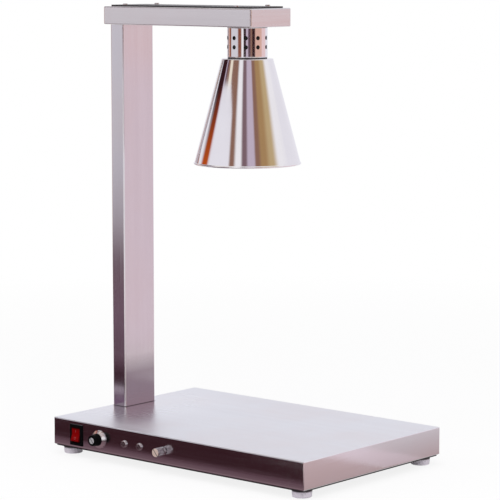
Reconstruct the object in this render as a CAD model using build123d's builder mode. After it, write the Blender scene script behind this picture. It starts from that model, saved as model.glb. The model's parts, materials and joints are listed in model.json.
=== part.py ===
from build123d import *
import math
import os

# Heat lamp warming station: a heated base, a flat column, an arm and a chrome lamp head.
# Frame: +Z up, origin on the floor under the middle of the base, +X along the base
# away from the column, and the control panel on the -Y side. Millimetres.

# Clearances
fit_gap = 0.1  # fixed pieces that slide together
run_gap = 0.05  # shafts and pins that turn in a hole
free_gap = 0.3  # moving faces that never touch
hole_gap = 0.2  # screws and bolts in plain holes

# Base sheet metal
base_length = 530.0
base_depth = 345.0
base_wall_height = 45.5
base_sheet = 1.5
base_corner_inside = 0.3
base_top_bend_inside = 0.2
base_rim_bend_inside = 2.5
base_flange_width = 16.0
bottom_thickness = 1.2
bottom_inset = 2.5
bottom_corner = 4.0
bottom_screw_from_end = 115.0
vent_slot_length = 46.0
vent_slot_width = 4.0
vent_slot_pitch = 12.0
vent_slot_count = 7
vent_group_distance = 250.0

# Feet
foot_height = 12.8
foot_top_radius = 16.0
foot_bottom_radius = 15.0
foot_edge = 1.5
foot_inset_x = 22.0
foot_inset_y = 23.0
foot_recess_radius = 6.0
foot_recess_depth = 6.5

# Column
column_margin = 2.0  # from the start of the base's top bend
column_thickness = 28.5
column_width = 73.0
column_height = 638.5
column_sheet = 1.5
column_corner_inside = 1.0
column_block_height = 14.0
column_bolt_spacing = 46.0
stiffener_length = 58.0
stiffener_width = 112.0
stiffener_thickness = 4.0

# Arm
arm_length = 319.3
arm_width = 98.6
arm_height = 29.6
arm_sheet = 1.5
arm_corner_inside = 1.0
arm_bend_inside = 0.4
arm_overhang = 3.0  # past the column's outer face
arm_flange_width = 20.0
cover_thickness = 2.5
cover_inset = 7.0
cover_corner = 8.0
cover_screw_from_end = 39.0
cover_screw_from_side = 11.5

# Collar and shade
collar_radius = 32.2
collar_height = 48.7
collar_sheet = 1.2
collar_edge = 2.0
collar_vent_radius = 3.4
collar_vent_count = 10
collar_vent_first_row = 17.0  # from the collar's lower edge
collar_vent_row_pitch = 14.5
gasket_thickness = 1.5
gasket_setback = 0.7
shade_height = 168.6
shade_top_radius = 41.0
shade_mouth_radius = 86.0
shade_sheet = 1.0
shade_top_bend = 2.0
shade_bead_radius = 2.0  # rim rolled round a wire
shade_bead_proud = 0.9
shade_screw_count = 3

# Lamp socket
nipple_radius = 5.0
nipple_bore_radius = 3.5
nipple_engagement = 9.0
nipple_nut_flats = 14.0
nipple_nut_height = 3.5
socket_radius = 22.0
socket_height = 42.0
socket_cavity_depth = 29.0
socket_edge = 2.0
socket_shell_wall = 0.5
socket_contact_radius = 5.0
socket_contact_thickness = 1.0
socket_to_flange = 1.3

# Infrared bulb
bulb_length = 175.0
bulb_radius = 62.5
bulb_equator = 40.0
bulb_waist_radius = 47.5
bulb_waist = 90.0
bulb_neck_radius = 19.0
bulb_neck = 136.0
bulb_throat_lean = 0.2  # inwards for each 1 up, where the glass meets the cap
bulb_glass_wall = 0.9
bulb_cap_radius = 13.1
bulb_cap_height = 26.0
bulb_thread_depth = 0.8
bulb_thread_turns = 5
bulb_tip_radius = 4.5
bulb_tip_height = 3.0
bulb_tip_cone = 4.0

# Heater under the base's top
heater_gap_left = 14.0
heater_from_right = 36.0
heater_from_front = 58.0
heater_from_rear = 38.0
heater_mat_thickness = 2.0
insulation_thickness = 8.0
clamp_plate_thickness = 1.0
heater_stud_inset = 14.0
heater_stud_length = 18.0
cutout_flange_radius = 11.0
cutout_flange_thickness = 1.0
cutout_radius = 8.0
cutout_height = 8.0

# Control panel
control_below_middle = 0.75
switch_from_left = 52.4
thermostat_from_left = 103.7
panel_screw_from_left = 159.6
panel_screw_spacing = 33.3
dimmer_from_left = 242.5

# Rocker switch
rocker_width = 17.6
rocker_height = 23.0
rocker_angle = 10.0
rocker_face = 4.2  # from the pivot to the hollow of the face
rocker_back = 4.0
rocker_back_height = 17.0
rocker_edge = 0.8
rocker_pivot_depth = 2.0  # behind the panel's front
rocker_pin_radius = 1.5
switch_wall = 1.2
switch_lip = 3.3
switch_bezel_thickness = 2.2
switch_bezel_edge = 0.8
switch_body_depth = 22.0
blade_width = 6.3
blade_thickness = 0.8
blade_length = 9.0
blade_spacing_x = 10.0
blade_spacing_z = 14.0

# Knobs and the bushes that they turn in
shaft_radius = 3.0
shaft_flat = 2.2  # from the shaft's axis
shaft_tail = 12.0  # behind the panel's inner face
bush_radius = 4.0
bush_length = 3.2  # in front of the panel
bush_nut_flats = 12.0
bush_nut_height = 2.2
thermostat_width = 36.0
thermostat_height = 27.0
thermostat_depth = 24.0
thermostat_edge = 1.5
skirt_radius = 14.5
skirt_rim = 1.2
skirt_plate = 1.0
knob_base_radius = 10.1
knob_end_radius = 8.5
knob_length = 17.2  # from the panel to the end
knob_shaft_depth = 9.0
knob_flute_count = 24
knob_flute_radius = 0.6
knob_cap_radius = 5.1
knob_cap_thickness = 0.8
knob_cap_proud = 0.3
knob_line_width = 1.1
knob_line_depth = 0.3
knob_line_angle = -50.0
dimmer_body_radius = 12.0
dimmer_body_depth = 20.0
dimmer_knob_radius = 6.9
dimmer_knob_length = 16.8  # from the panel to the end
dimmer_shaft_depth = 10.0
dimmer_knurl_count = 36
dimmer_knurl_size = 0.72
dimmer_knurl_from_end = 3.0
dimmer_knob_edge = 0.6

# Power control behind the panel
heat_sink_width = 66.0
heat_sink_height = 32.0
heat_sink_depth = 44.0
heat_sink_thickness = 3.0
board_margin = 4.0
board_thickness = 1.6
board_spacer_height = 3.0
board_spacer_radius = 2.5
board_spacer_inset = 5.0
board_nut_gap = 1.5  # behind the ends of the panel screws
coil_radius = 7.0
coil_height = 9.0
coil_bore_radius = 3.5
capacitor_length = 18.0
capacitor_width = 7.0
capacitor_height = 12.0
capacitor_pitch = 10.5

# Terminal block
terminal_length = 50.0
terminal_width = 22.0
terminal_height = 20.0
terminal_gap = 18.0  # from the column's inner side
terminal_poles = 4
terminal_entry_radius = 2.4
terminal_entry_depth = 8.0
terminal_screw_spacing = 24.0
terminal_screw_depth = 8.0

# Cable gland at the back
gland_from_left = 65.0
gland_bore_radius = 4.5
gland_thread_radius = 8.0
gland_flats = 22.0
gland_flange = 4.0
gland_nose = 9.0
gland_tail = 9.0  # inside the rear wall
gland_locknut_height = 5.0
gland_cap_length = 15.5
gland_cap_radius = 10.5
gland_cap_front = 3.0
gland_cap_hole_radius = 5.4
gland_cap_edge = 2.0
gland_seal_radius = 6.6
gland_seal_length = 6.0

# Lamp lead
lead_radius = 3.0
lead_base_bend = 19.0
lead_arm_bend = 15.0
lead_drop_bend = 13.0
lead_arm_height = 19.0  # above the arm's floor
grommet_wall = 2.2
grommet_rim = 2.0
grommet_rim_height = 2.0

# Fasteners
small_screw_radius = 1.5
small_head_radius = 2.8
small_head_height = 1.8
small_nut_flats = 5.5
small_nut_height = 2.4
middle_screw_radius = 2.0
middle_head_radius = 4.0
middle_head_height = 2.4
wafer_head_height = 0.8
middle_nut_flats = 7.0
middle_nut_height = 3.2
large_screw_radius = 2.5
large_head_radius = 5.7
large_head_height = 2.8
large_nut_flats = 8.0
large_nut_height = 4.0
bolt_radius = 3.0
bolt_flats = 10.0
bolt_head_height = 4.0
slot_width = 1.3
slot_share_of_head = 0.5
screw_thread_grip = 4.0
thread_stub = 1.5  # past a nut

# Levels
bottom_z = foot_height
base_z = bottom_z + bottom_thickness
floor_z = base_z  # inside face of the bottom cover
top_z = base_z + base_wall_height
ceiling_z = top_z - base_sheet
arm_z = top_z + column_height
arm_floor_z = arm_z + arm_sheet
arm_top_z = arm_z + arm_height
collar_z = arm_z - collar_height
shade_top_z = collar_z - gasket_thickness
shade_mouth_z = shade_top_z - shade_height

# Places
base_left = -base_length / 2
base_right = base_length / 2
front_y = -base_depth / 2
rear_y = base_depth / 2
panel_inside_y = front_y + base_sheet
control_z = (base_z + top_z) / 2 - control_below_middle
base_corner = base_corner_inside + base_sheet
base_top_bend = base_top_bend_inside + base_sheet
base_rim_bend = base_rim_bend_inside + base_sheet
column_left = base_left + base_top_bend + column_margin
column_x = column_left + column_thickness / 2
arm_left = column_left - arm_overhang
arm_x = arm_left + arm_length / 2
lamp_x = arm_left + arm_length - arm_width / 2
stiffener_right = column_left + stiffener_length
switch_x = base_left + switch_from_left
thermostat_x = base_left + thermostat_from_left
dimmer_x = base_left + dimmer_from_left
panel_screw_x = base_left + panel_screw_from_left
gland_x = base_left + gland_from_left
terminal_left = column_left + column_thickness + terminal_gap
terminal_x = terminal_left + terminal_length / 2
lead_low_z = floor_z + terminal_height / 2
lead_high_z = arm_floor_z + lead_arm_height

# Planes seen from outside: local X runs along +X on all of them
front_plane = Plane.XZ.offset(-front_y)
panel_inside_plane = Plane.XZ.offset(-panel_inside_y)
rear_plane = Plane.XZ.offset(-rear_y)
lamp_plane = Plane(origin=(lamp_x, 0, 0), x_dir=(1, 0, 0), z_dir=(0, -1, 0))
lamp_axis = Axis((lamp_x, 0, 0), (0, 0, 1))


def level(height):
    return Plane.XY.offset(height)


def facing_down(height):
    return Plane(origin=(0, 0, height), x_dir=(1, 0, 0), z_dir=(0, 0, -1))


def write_part(builder, name):
    builder.part.label = name
    export_step(builder.part, f"parts/{name}.step")


# Shank radius, head radius and head height of each pan-head screw
small_screw = (small_screw_radius, small_head_radius, small_head_height)
middle_screw = (middle_screw_radius, middle_head_radius, middle_head_height)
wafer_screw = (middle_screw_radius, middle_head_radius, wafer_head_height)
large_screw = (large_screw_radius, large_head_radius, large_head_height)


# Pan-head screws whose heads stand on a plane, on its normal's side
def pan_screws(plane, spots, size, length, slot_angle=45.0):
    shank, head, height = size
    slot_depth = height * slot_share_of_head
    with BuildPart() as screws:
        with BuildSketch(plane):
            with Locations(*spots):
                Circle(head)
        extrude(amount=height)
        crown = screws.faces().group_by(Axis(plane.origin, plane.z_dir))[-1]
        fillet(crown.edges(), slot_depth)
        with BuildSketch(plane.offset(height - slot_depth)):
            with Locations(*spots):
                Rectangle(2 * head, slot_width, rotation=slot_angle)
        extrude(amount=slot_depth, mode=Mode.SUBTRACT)
        with BuildSketch(plane):
            with Locations(*spots):
                Circle(shank)
        extrude(amount=-length)
    return screws


# Hexagon-head bolts whose heads stand on a plane, on its normal's side
def hex_bolts(plane, spots, length):
    with BuildPart() as bolts:
        with BuildSketch(plane):
            with Locations(*spots):
                RegularPolygon(bolt_flats / 2, 6, major_radius=False)
        extrude(amount=bolt_head_height)
        with BuildSketch(plane):
            with Locations(*spots):
                Circle(bolt_radius)
        extrude(amount=-length)
    return bolts


# Hexagon nuts that stand on a plane, on its normal's side
def hex_nuts(plane, spots, flats, height, thread_radius):
    with BuildPart() as nuts:
        with BuildSketch(plane):
            with Locations(*spots):
                RegularPolygon(flats / 2, 6, major_radius=False)
                Circle(thread_radius + run_gap, mode=Mode.SUBTRACT)
        extrude(amount=height)
    return nuts


# Screw, bolt and stud places, shared by every piece that they pass through
foot_x = base_length / 2 - foot_inset_x
foot_y = base_depth / 2 - foot_inset_y
foot_spots = {
    "front_left": (-foot_x, -foot_y),
    "front_right": (foot_x, -foot_y),
    "rear_left": (-foot_x, foot_y),
    "rear_right": (foot_x, foot_y),
}
rim_screw_edge = (base_rim_bend + base_flange_width) / 2
rim_screw_x = base_length / 2 - bottom_screw_from_end
rim_screw_y = base_depth / 2 - rim_screw_edge
bottom_spots = [(x, y) for x in (-rim_screw_x, 0, rim_screw_x) for y in (-rim_screw_y, rim_screw_y)]
bottom_spots += [(side * (base_length / 2 - rim_screw_edge), 0) for side in (-1, 1)]
terminal_spots = [(terminal_x + side * terminal_screw_spacing / 2, 0) for side in (-1, 1)]
column_bolt_spots = [(column_x, side * column_bolt_spacing / 2) for side in (-1, 1)]
column_spot = (column_x, 0)
cover_screw_x = arm_length / 2 - cover_screw_from_end
cover_screw_y = arm_width / 2 - cover_screw_from_side
cover_spots = [(arm_x + i * cover_screw_x, j * cover_screw_y) for i in (-1, 1) for j in (-1, 1)]
panel_spots = [(panel_screw_x + i * panel_screw_spacing, control_z) for i in (0, 1)]

# Grommet holes for the lamp lead
lead_hole_radius = lead_radius + free_gap + grommet_wall


# A box folded from sheet, as far inside the housing's outer faces as the inset says: the bends
# along its long and short sides meet in mitres at the upright corners
def folded_box(inset):
    height = base_wall_height - 2 * inset
    with BuildPart() as box:
        with BuildSketch(level(base_z + inset)):
            RectangleRounded(base_length - 2 * inset, base_depth - 2 * inset, base_corner - inset)
        extrude(amount=height)
        for plane, side in ((Plane.XZ, base_length), (Plane.YZ, base_depth)):
            with BuildSketch(plane) as section:
                with Locations((0, base_z + base_wall_height / 2)):
                    Rectangle(side - 2 * inset, height)
                fillet(section.vertices().group_by(Axis.Y)[-1], base_top_bend - inset)
                fillet(section.vertices().group_by(Axis.Y)[0], base_rim_bend - inset)
            extrude(amount=base_length, both=True, mode=Mode.INTERSECT)
    return box.part


# Base housing: one sheet folded down on four sides, with a return flange below
base_outside = folded_box(0)
base_cavity = folded_box(base_sheet)

switch_half_turn = math.radians(rocker_angle)
rocker_tip = rocker_face + rocker_height / 2 * math.tan(switch_half_turn)
rocker_corner_angle = math.atan2(rocker_height / 2, rocker_tip)
rocker_reach = math.hypot(rocker_tip, rocker_height / 2) * math.sin(rocker_corner_angle + switch_half_turn)
switch_window_height = 2 * (rocker_reach + free_gap)
switch_window_width = rocker_width + 2 * free_gap
switch_body_height = switch_window_height + 2 * switch_wall
switch_body_width = switch_window_width + 2 * switch_wall

with BuildPart() as base_housing:
    add(base_outside)
    add(base_cavity, mode=Mode.SUBTRACT)
    with BuildSketch(level(base_z)):
        Rectangle(base_length - 2 * base_flange_width, base_depth - 2 * base_flange_width)
        with Locations(*bottom_spots):
            Circle(middle_screw_radius + hole_gap)
    extrude(amount=base_sheet, mode=Mode.SUBTRACT)
    with BuildSketch(level(ceiling_z)):
        with Locations(*column_bolt_spots):
            Circle(bolt_radius + hole_gap)
        with Locations(column_spot):
            Circle(lead_hole_radius)
    extrude(amount=base_sheet, mode=Mode.SUBTRACT)
    with BuildSketch(front_plane):
        with Locations((switch_x, control_z)):
            Rectangle(switch_body_width + 2 * fit_gap, switch_body_height + 2 * fit_gap)
        with Locations((thermostat_x, control_z), (dimmer_x, control_z)):
            Circle(bush_radius + fit_gap)
        with Locations(*panel_spots):
            Circle(large_screw_radius + hole_gap)
    extrude(amount=-base_sheet, mode=Mode.SUBTRACT)
    with BuildSketch(rear_plane):
        with Locations((gland_x, control_z)):
            Circle(gland_thread_radius + fit_gap)
    extrude(amount=base_sheet, mode=Mode.SUBTRACT)
write_part(base_housing, "base_housing")

# Bottom cover with two groups of vent slots
with BuildPart() as bottom_cover:
    with BuildSketch(level(bottom_z)):
        RectangleRounded(base_length - 2 * bottom_inset, base_depth - 2 * bottom_inset, bottom_corner)
        with Locations(*bottom_spots):
            Circle(middle_screw_radius + hole_gap, mode=Mode.SUBTRACT)
        with Locations(*foot_spots.values()):
            Circle(large_screw_radius + hole_gap, mode=Mode.SUBTRACT)
        with Locations(*terminal_spots):
            Circle(small_screw_radius + hole_gap, mode=Mode.SUBTRACT)
        with Locations((-vent_group_distance / 2, 0), (vent_group_distance / 2, 0)):
            with GridLocations(0, vent_slot_pitch, 1, vent_slot_count):
                SlotOverall(vent_slot_length, vent_slot_width, mode=Mode.SUBTRACT)
    extrude(amount=bottom_thickness)
write_part(bottom_cover, "bottom_cover")

bottom_screws = pan_screws(
    facing_down(bottom_z),
    [(x, -y) for x, y in bottom_spots],
    wafer_screw,
    bottom_thickness + base_sheet + screw_thread_grip,
)
write_part(bottom_screws, "bottom_screws")


# Tapered foot with a recess that hides its screw
def make_foot(spot):
    with BuildPart() as foot:
        with BuildSketch(level(0)):
            with Locations(spot):
                Circle(foot_bottom_radius)
        with BuildSketch(level(foot_height)):
            with Locations(spot):
                Circle(foot_top_radius)
        loft()
        fillet(foot.faces().sort_by(Axis.Z)[0].edges(), foot_edge)
        with BuildSketch(level(0)):
            with Locations(spot):
                Circle(foot_recess_radius)
        extrude(amount=foot_recess_depth, mode=Mode.SUBTRACT)
        with BuildSketch(level(0)):
            with Locations(spot):
                Circle(large_screw_radius + hole_gap)
        extrude(amount=foot_height, mode=Mode.SUBTRACT)
    return foot


for place, spot in foot_spots.items():
    write_part(make_foot(spot), f"foot_{place}")

foot_screws = pan_screws(
    facing_down(foot_recess_depth),
    [(x, -y) for x, y in foot_spots.values()],
    large_screw,
    base_z - foot_recess_depth + large_nut_height + thread_stub,
)
write_part(foot_screws, "foot_screws")

foot_nuts = hex_nuts(
    level(floor_z), foot_spots.values(), large_nut_flats, large_nut_height, large_screw_radius
)
write_part(foot_nuts, "foot_nuts")

# Heater stack: mat, insulation and clamp plate hang on four welded studs
heater_left = stiffener_right + heater_gap_left
heater_length = base_right - heater_from_right - heater_left
heater_width = base_depth - heater_from_front - heater_from_rear
heater_x = heater_left + heater_length / 2
heater_y = front_y + heater_from_front + heater_width / 2
mat_z = ceiling_z - heater_mat_thickness
insulation_z = mat_z - insulation_thickness
clamp_z = insulation_z - clamp_plate_thickness
stud_x = heater_length / 2 - heater_stud_inset
stud_y = heater_width / 2 - heater_stud_inset
stud_spots = [(heater_x + i * stud_x, heater_y + j * stud_y) for i in (-1, 1) for j in (-1, 1)]


def heater_layer(height, thickness):
    with BuildPart() as layer:
        with BuildSketch(level(height)):
            with Locations((heater_x, heater_y)):
                Rectangle(heater_length, heater_width)
            with Locations(*stud_spots):
                Circle(middle_screw_radius + hole_gap, mode=Mode.SUBTRACT)
        extrude(amount=thickness)
    return layer


write_part(heater_layer(mat_z, heater_mat_thickness), "heating_mat")
write_part(heater_layer(insulation_z, insulation_thickness), "insulation_board")
write_part(heater_layer(clamp_z, clamp_plate_thickness), "heater_clamp_plate")

with BuildPart() as heater_studs:
    with BuildSketch(level(ceiling_z)):
        with Locations(*stud_spots):
            Circle(middle_screw_radius)
    extrude(amount=-heater_stud_length)
write_part(heater_studs, "heater_studs")

heater_nuts = hex_nuts(
    facing_down(clamp_z), [(x, -y) for x, y in stud_spots],
    middle_nut_flats, middle_nut_height, middle_screw_radius,
)
write_part(heater_nuts, "heater_nuts")

with BuildPart() as thermal_cutout:
    with BuildSketch(level(clamp_z)):
        with Locations((heater_x, heater_y)):
            Circle(cutout_flange_radius)
    extrude(amount=-cutout_flange_thickness)
    with BuildSketch(level(clamp_z - cutout_flange_thickness)):
        with Locations((heater_x, heater_y)):
            Circle(cutout_radius)
    extrude(amount=-cutout_height)
write_part(thermal_cutout, "thermal_cutout")

# Column: stiffener under the base's top, a flat tube, and a block in each end
with BuildPart() as column_stiffener:
    with BuildSketch(level(ceiling_z)):
        with Locations((column_left + stiffener_length / 2, 0)):
            Rectangle(stiffener_length, stiffener_width)
        with Locations(*column_bolt_spots):
            Circle(bolt_radius + hole_gap, mode=Mode.SUBTRACT)
        with Locations(column_spot):
            Circle(lead_hole_radius, mode=Mode.SUBTRACT)
    extrude(amount=-stiffener_thickness)
write_part(column_stiffener, "column_stiffener")

column_inner_thickness = column_thickness - 2 * column_sheet
column_inner_width = column_width - 2 * column_sheet

with BuildPart() as column_tube:
    with BuildSketch(level(top_z)):
        with Locations(column_spot):
            RectangleRounded(column_thickness, column_width, column_corner_inside + column_sheet)
            RectangleRounded(
                column_inner_thickness, column_inner_width, column_corner_inside, mode=Mode.SUBTRACT
            )
    extrude(amount=column_height)
write_part(column_tube, "column_tube")


def column_block(height):
    with BuildPart() as block:
        with BuildSketch(level(height)):
            with Locations(column_spot):
                RectangleRounded(
                    column_inner_thickness - 2 * fit_gap,
                    column_inner_width - 2 * fit_gap,
                    column_corner_inside,
                )
                Circle(lead_hole_radius, mode=Mode.SUBTRACT)
            with Locations(*column_bolt_spots):
                Circle(bolt_radius + run_gap, mode=Mode.SUBTRACT)
        extrude(amount=column_block_height)
    return block


write_part(column_block(top_z), "column_foot_block")
write_part(column_block(arm_z - column_block_height), "column_head_block")

stiffener_z = ceiling_z - stiffener_thickness
column_bolts = hex_bolts(
    facing_down(stiffener_z),
    [(x, -y) for x, y in column_bolt_spots],
    stiffener_thickness + base_sheet + column_block_height,
)
write_part(column_bolts, "column_bolts")

arm_bolts = hex_bolts(level(arm_floor_z), column_bolt_spots, arm_sheet + column_block_height)
write_part(arm_bolts, "arm_bolts")

# Arm: a folded box whose top is open inside a return flange
arm_corner = arm_corner_inside + arm_sheet
arm_bend = arm_bend_inside + arm_sheet

with BuildPart() as arm_cavity:
    with BuildSketch(level(arm_floor_z)):
        with Locations((arm_x, 0)):
            RectangleRounded(arm_length - 2 * arm_sheet, arm_width - 2 * arm_sheet, arm_corner_inside)
    extrude(amount=arm_height - 2 * arm_sheet)
    fillet(arm_cavity.faces().filter_by(Axis.Z).edges(), arm_bend_inside)

with BuildPart() as arm_housing:
    with BuildSketch(level(arm_z)):
        with Locations((arm_x, 0)):
            RectangleRounded(arm_length, arm_width, arm_corner)
    extrude(amount=arm_height)
    fillet(arm_housing.faces().filter_by(Axis.Z).edges(), arm_bend)
    add(arm_cavity.part, mode=Mode.SUBTRACT)
    with BuildSketch(level(arm_top_z)):
        with Locations((arm_x, 0)):
            Rectangle(arm_length - 2 * arm_flange_width, arm_width - 2 * arm_flange_width)
        with Locations(*cover_spots):
            Circle(middle_screw_radius + hole_gap)
    extrude(amount=-arm_sheet, mode=Mode.SUBTRACT)
    with BuildSketch(level(arm_z)):
        with Locations(*column_bolt_spots):
            Circle(bolt_radius + hole_gap)
        with Locations(column_spot):
            Circle(lead_hole_radius)
        with Locations((lamp_x, 0)):
            Circle(nipple_radius + fit_gap)
    extrude(amount=arm_sheet, mode=Mode.SUBTRACT)
write_part(arm_housing, "arm_housing")

with BuildPart() as arm_cover:
    with BuildSketch(level(arm_top_z)):
        with Locations((arm_x, 0)):
            RectangleRounded(arm_length - 2 * cover_inset, arm_width - 2 * cover_inset, cover_corner)
        with Locations(*cover_spots):
            Circle(middle_screw_radius + hole_gap, mode=Mode.SUBTRACT)
    extrude(amount=cover_thickness)
write_part(arm_cover, "arm_cover")

arm_cover_screws = pan_screws(
    level(arm_top_z + cover_thickness),
    cover_spots,
    middle_screw,
    cover_thickness + arm_sheet + screw_thread_grip,
)
write_part(arm_cover_screws, "arm_cover_screws")

# Collar: a spun cup with vent holes, closed at the arm and flanged in at the shade
collar_inner_radius = collar_radius - collar_sheet
flange_hole_radius = socket_radius + socket_to_flange
shade_screw_radius = (flange_hole_radius + collar_inner_radius) / 2
shade_screw_angle = 360.0 / shade_screw_count

with BuildPart() as vent_collar:
    with BuildSketch(lamp_plane):
        with BuildLine():
            Polyline(
                (nipple_radius + fit_gap, arm_z),
                (collar_radius, arm_z),
                (collar_radius, collar_z),
                (flange_hole_radius, collar_z),
                (flange_hole_radius, collar_z + collar_sheet),
                (collar_inner_radius, collar_z + collar_sheet),
                (collar_inner_radius, arm_z - collar_sheet),
                (nipple_radius + fit_gap, arm_z - collar_sheet),
                close=True,
            )
        make_face()
        fillet(vertices().group_by(Axis.X)[-1], collar_edge)
    revolve(axis=lamp_axis)
    with BuildSketch(level(collar_z)):
        with Locations((lamp_x, 0)):
            with PolarLocations(shade_screw_radius, shade_screw_count):
                Circle(small_screw_radius + hole_gap)
    extrude(amount=collar_sheet, mode=Mode.SUBTRACT)
    for column in range(collar_vent_count):
        angle = math.radians(column * 360 / collar_vent_count - 90)
        vent_plane = Plane(
            origin=(lamp_x, 0, collar_z + collar_vent_first_row),
            x_dir=(-math.sin(angle), math.cos(angle), 0),
            z_dir=(math.cos(angle), math.sin(angle), 0),
        )
        with BuildSketch(vent_plane):
            with Locations((0, 0), (0, collar_vent_row_pitch)):
                Circle(collar_vent_radius)
        extrude(amount=collar_radius, mode=Mode.SUBTRACT)
write_part(vent_collar, "vent_collar")

with BuildPart() as shade_gasket:
    with BuildSketch(level(shade_top_z)):
        with Locations((lamp_x, 0)):
            Circle(collar_radius - gasket_setback)
            Circle(flange_hole_radius, mode=Mode.SUBTRACT)
            with PolarLocations(shade_screw_radius, shade_screw_count):
                Circle(small_screw_radius + hole_gap, mode=Mode.SUBTRACT)
    extrude(amount=gasket_thickness)
write_part(shade_gasket, "shade_gasket")

# Shade: a spun cone with a flat top and a rim rolled round a wire at the mouth
bead_z = shade_mouth_z + shade_bead_radius
bead_centre_radius = shade_mouth_radius - shade_bead_radius
cone_foot_radius = shade_mouth_radius - shade_bead_proud
shade_slope = math.atan2(cone_foot_radius - shade_top_radius, shade_top_z - bead_z)
shade_wall = shade_sheet / math.cos(shade_slope)
shade_ceiling_z = shade_top_z - shade_sheet
shade_ceiling_radius = shade_top_radius + shade_sheet * math.tan(shade_slope) - shade_wall

with BuildPart() as lamp_shade:
    with BuildSketch(lamp_plane):
        with BuildLine():
            Polyline(
                (flange_hole_radius, shade_top_z),
                (shade_top_radius, shade_top_z),
                (cone_foot_radius, bead_z),
                (cone_foot_radius - shade_wall, bead_z),
                (shade_ceiling_radius, shade_ceiling_z),
                (flange_hole_radius, shade_ceiling_z),
                close=True,
            )
        make_face()
        fillet(vertices().group_by(Axis.Y)[-1].sort_by(Axis.X)[-1], shade_top_bend)
        with Locations((bead_centre_radius, bead_z)):
            Circle(shade_bead_radius)
    revolve(axis=lamp_axis)
    with BuildSketch(level(shade_ceiling_z)):
        with Locations((lamp_x, 0)):
            with PolarLocations(shade_screw_radius, shade_screw_count):
                Circle(small_screw_radius + hole_gap)
    extrude(amount=shade_sheet, mode=Mode.SUBTRACT)
write_part(lamp_shade, "lamp_shade")

shade_spots = []
for number in range(shade_screw_count):
    turn = math.radians(number * shade_screw_angle)
    shade_spots.append(
        (lamp_x + shade_screw_radius * math.cos(turn), shade_screw_radius * math.sin(turn))
    )

shade_screws = pan_screws(
    facing_down(shade_ceiling_z),
    [(x, -y) for x, y in shade_spots],
    small_screw,
    shade_sheet + gasket_thickness + collar_sheet + small_nut_height,
)
write_part(shade_screws, "shade_screws")

shade_nuts = hex_nuts(
    level(collar_z + collar_sheet), shade_spots, small_nut_flats, small_nut_height, small_screw_radius
)
write_part(shade_nuts, "shade_nuts")

# Lamp socket: ceramic body, brass shell and contact, held by a hollow threaded nipple
socket_top_z = arm_z - collar_sheet - nipple_nut_height
socket_z = socket_top_z - socket_height
cavity_top_z = socket_z + socket_cavity_depth
shell_inner_radius = bulb_cap_radius + free_gap
shell_outer_radius = shell_inner_radius + socket_shell_wall
cavity_radius = shell_outer_radius + fit_gap
nipple_z = socket_top_z - nipple_engagement
nipple_top_z = arm_floor_z + nipple_nut_height + thread_stub

with BuildPart() as lamp_socket:
    with BuildSketch(level(socket_z)):
        with Locations((lamp_x, 0)):
            Circle(socket_radius)
    extrude(amount=socket_height)
    fillet(lamp_socket.edges(), socket_edge)
    with BuildSketch(level(socket_z)):
        with Locations((lamp_x, 0)):
            Circle(cavity_radius)
    extrude(amount=socket_cavity_depth, mode=Mode.SUBTRACT)
    with BuildSketch(level(socket_top_z)):
        with Locations((lamp_x, 0)):
            Circle(nipple_radius + fit_gap)
    extrude(amount=-nipple_engagement, mode=Mode.SUBTRACT)
write_part(lamp_socket, "lamp_socket")

with BuildPart() as socket_shell:
    with BuildSketch(level(cavity_top_z)):
        with Locations((lamp_x, 0)):
            Circle(shell_outer_radius)
            Circle(shell_inner_radius, mode=Mode.SUBTRACT)
    extrude(amount=-bulb_cap_height)
write_part(socket_shell, "socket_shell")

with BuildPart() as socket_contact:
    with BuildSketch(level(cavity_top_z)):
        with Locations((lamp_x, 0)):
            Circle(socket_contact_radius)
    extrude(amount=-socket_contact_thickness)
write_part(socket_contact, "socket_contact")

with BuildPart() as socket_nipple:
    with BuildSketch(level(nipple_z)):
        with Locations((lamp_x, 0)):
            Circle(nipple_radius)
            Circle(nipple_bore_radius, mode=Mode.SUBTRACT)
    extrude(amount=nipple_top_z - nipple_z)
write_part(socket_nipple, "socket_nipple")

with BuildPart() as nipple_nuts:
    for nut_z in (socket_top_z, arm_floor_z):
        with BuildSketch(level(nut_z)):
            with Locations((lamp_x, 0)):
                RegularPolygon(nipple_nut_flats / 2, 6, major_radius=False)
                Circle(nipple_radius + run_gap, mode=Mode.SUBTRACT)
        extrude(amount=nipple_nut_height)
write_part(nipple_nuts, "nipple_nuts")

# Infrared reflector bulb: a blown glass shell on a screw cap
bulb_top_z = cavity_top_z - socket_contact_thickness - free_gap
bulb_z = bulb_top_z - bulb_length
cap_z = bulb_top_z - bulb_cap_height
cap_neck_radius = bulb_cap_radius - bulb_thread_depth


# Half outline of the glass, drawn inwards of the outside by an inset
def bulb_outline(inset):
    top = (cap_neck_radius - inset, cap_z)
    neck = (bulb_neck_radius - inset, bulb_z + bulb_neck)
    waist = (bulb_waist_radius - inset, bulb_z + bulb_waist)
    equator = (bulb_radius - inset, bulb_z + bulb_equator)
    front = (0, bulb_z + inset)
    Spline(equator, waist, neck, top, tangents=((0, 1), (-bulb_throat_lean, 1)))
    EllipticalCenterArc(
        (0, bulb_z + bulb_equator), bulb_radius - inset, bulb_equator - inset, start_angle=270, arc_size=90
    )
    Polyline(front, (0, cap_z), top)


with BuildPart() as bulb_glass:
    with BuildSketch(lamp_plane):
        with BuildLine():
            bulb_outline(0)
        make_face()
    revolve(axis=lamp_axis)
    with BuildSketch(lamp_plane):
        with BuildLine():
            bulb_outline(bulb_glass_wall)
        make_face()
    revolve(axis=lamp_axis, mode=Mode.SUBTRACT)
write_part(bulb_glass, "bulb_glass")

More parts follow.
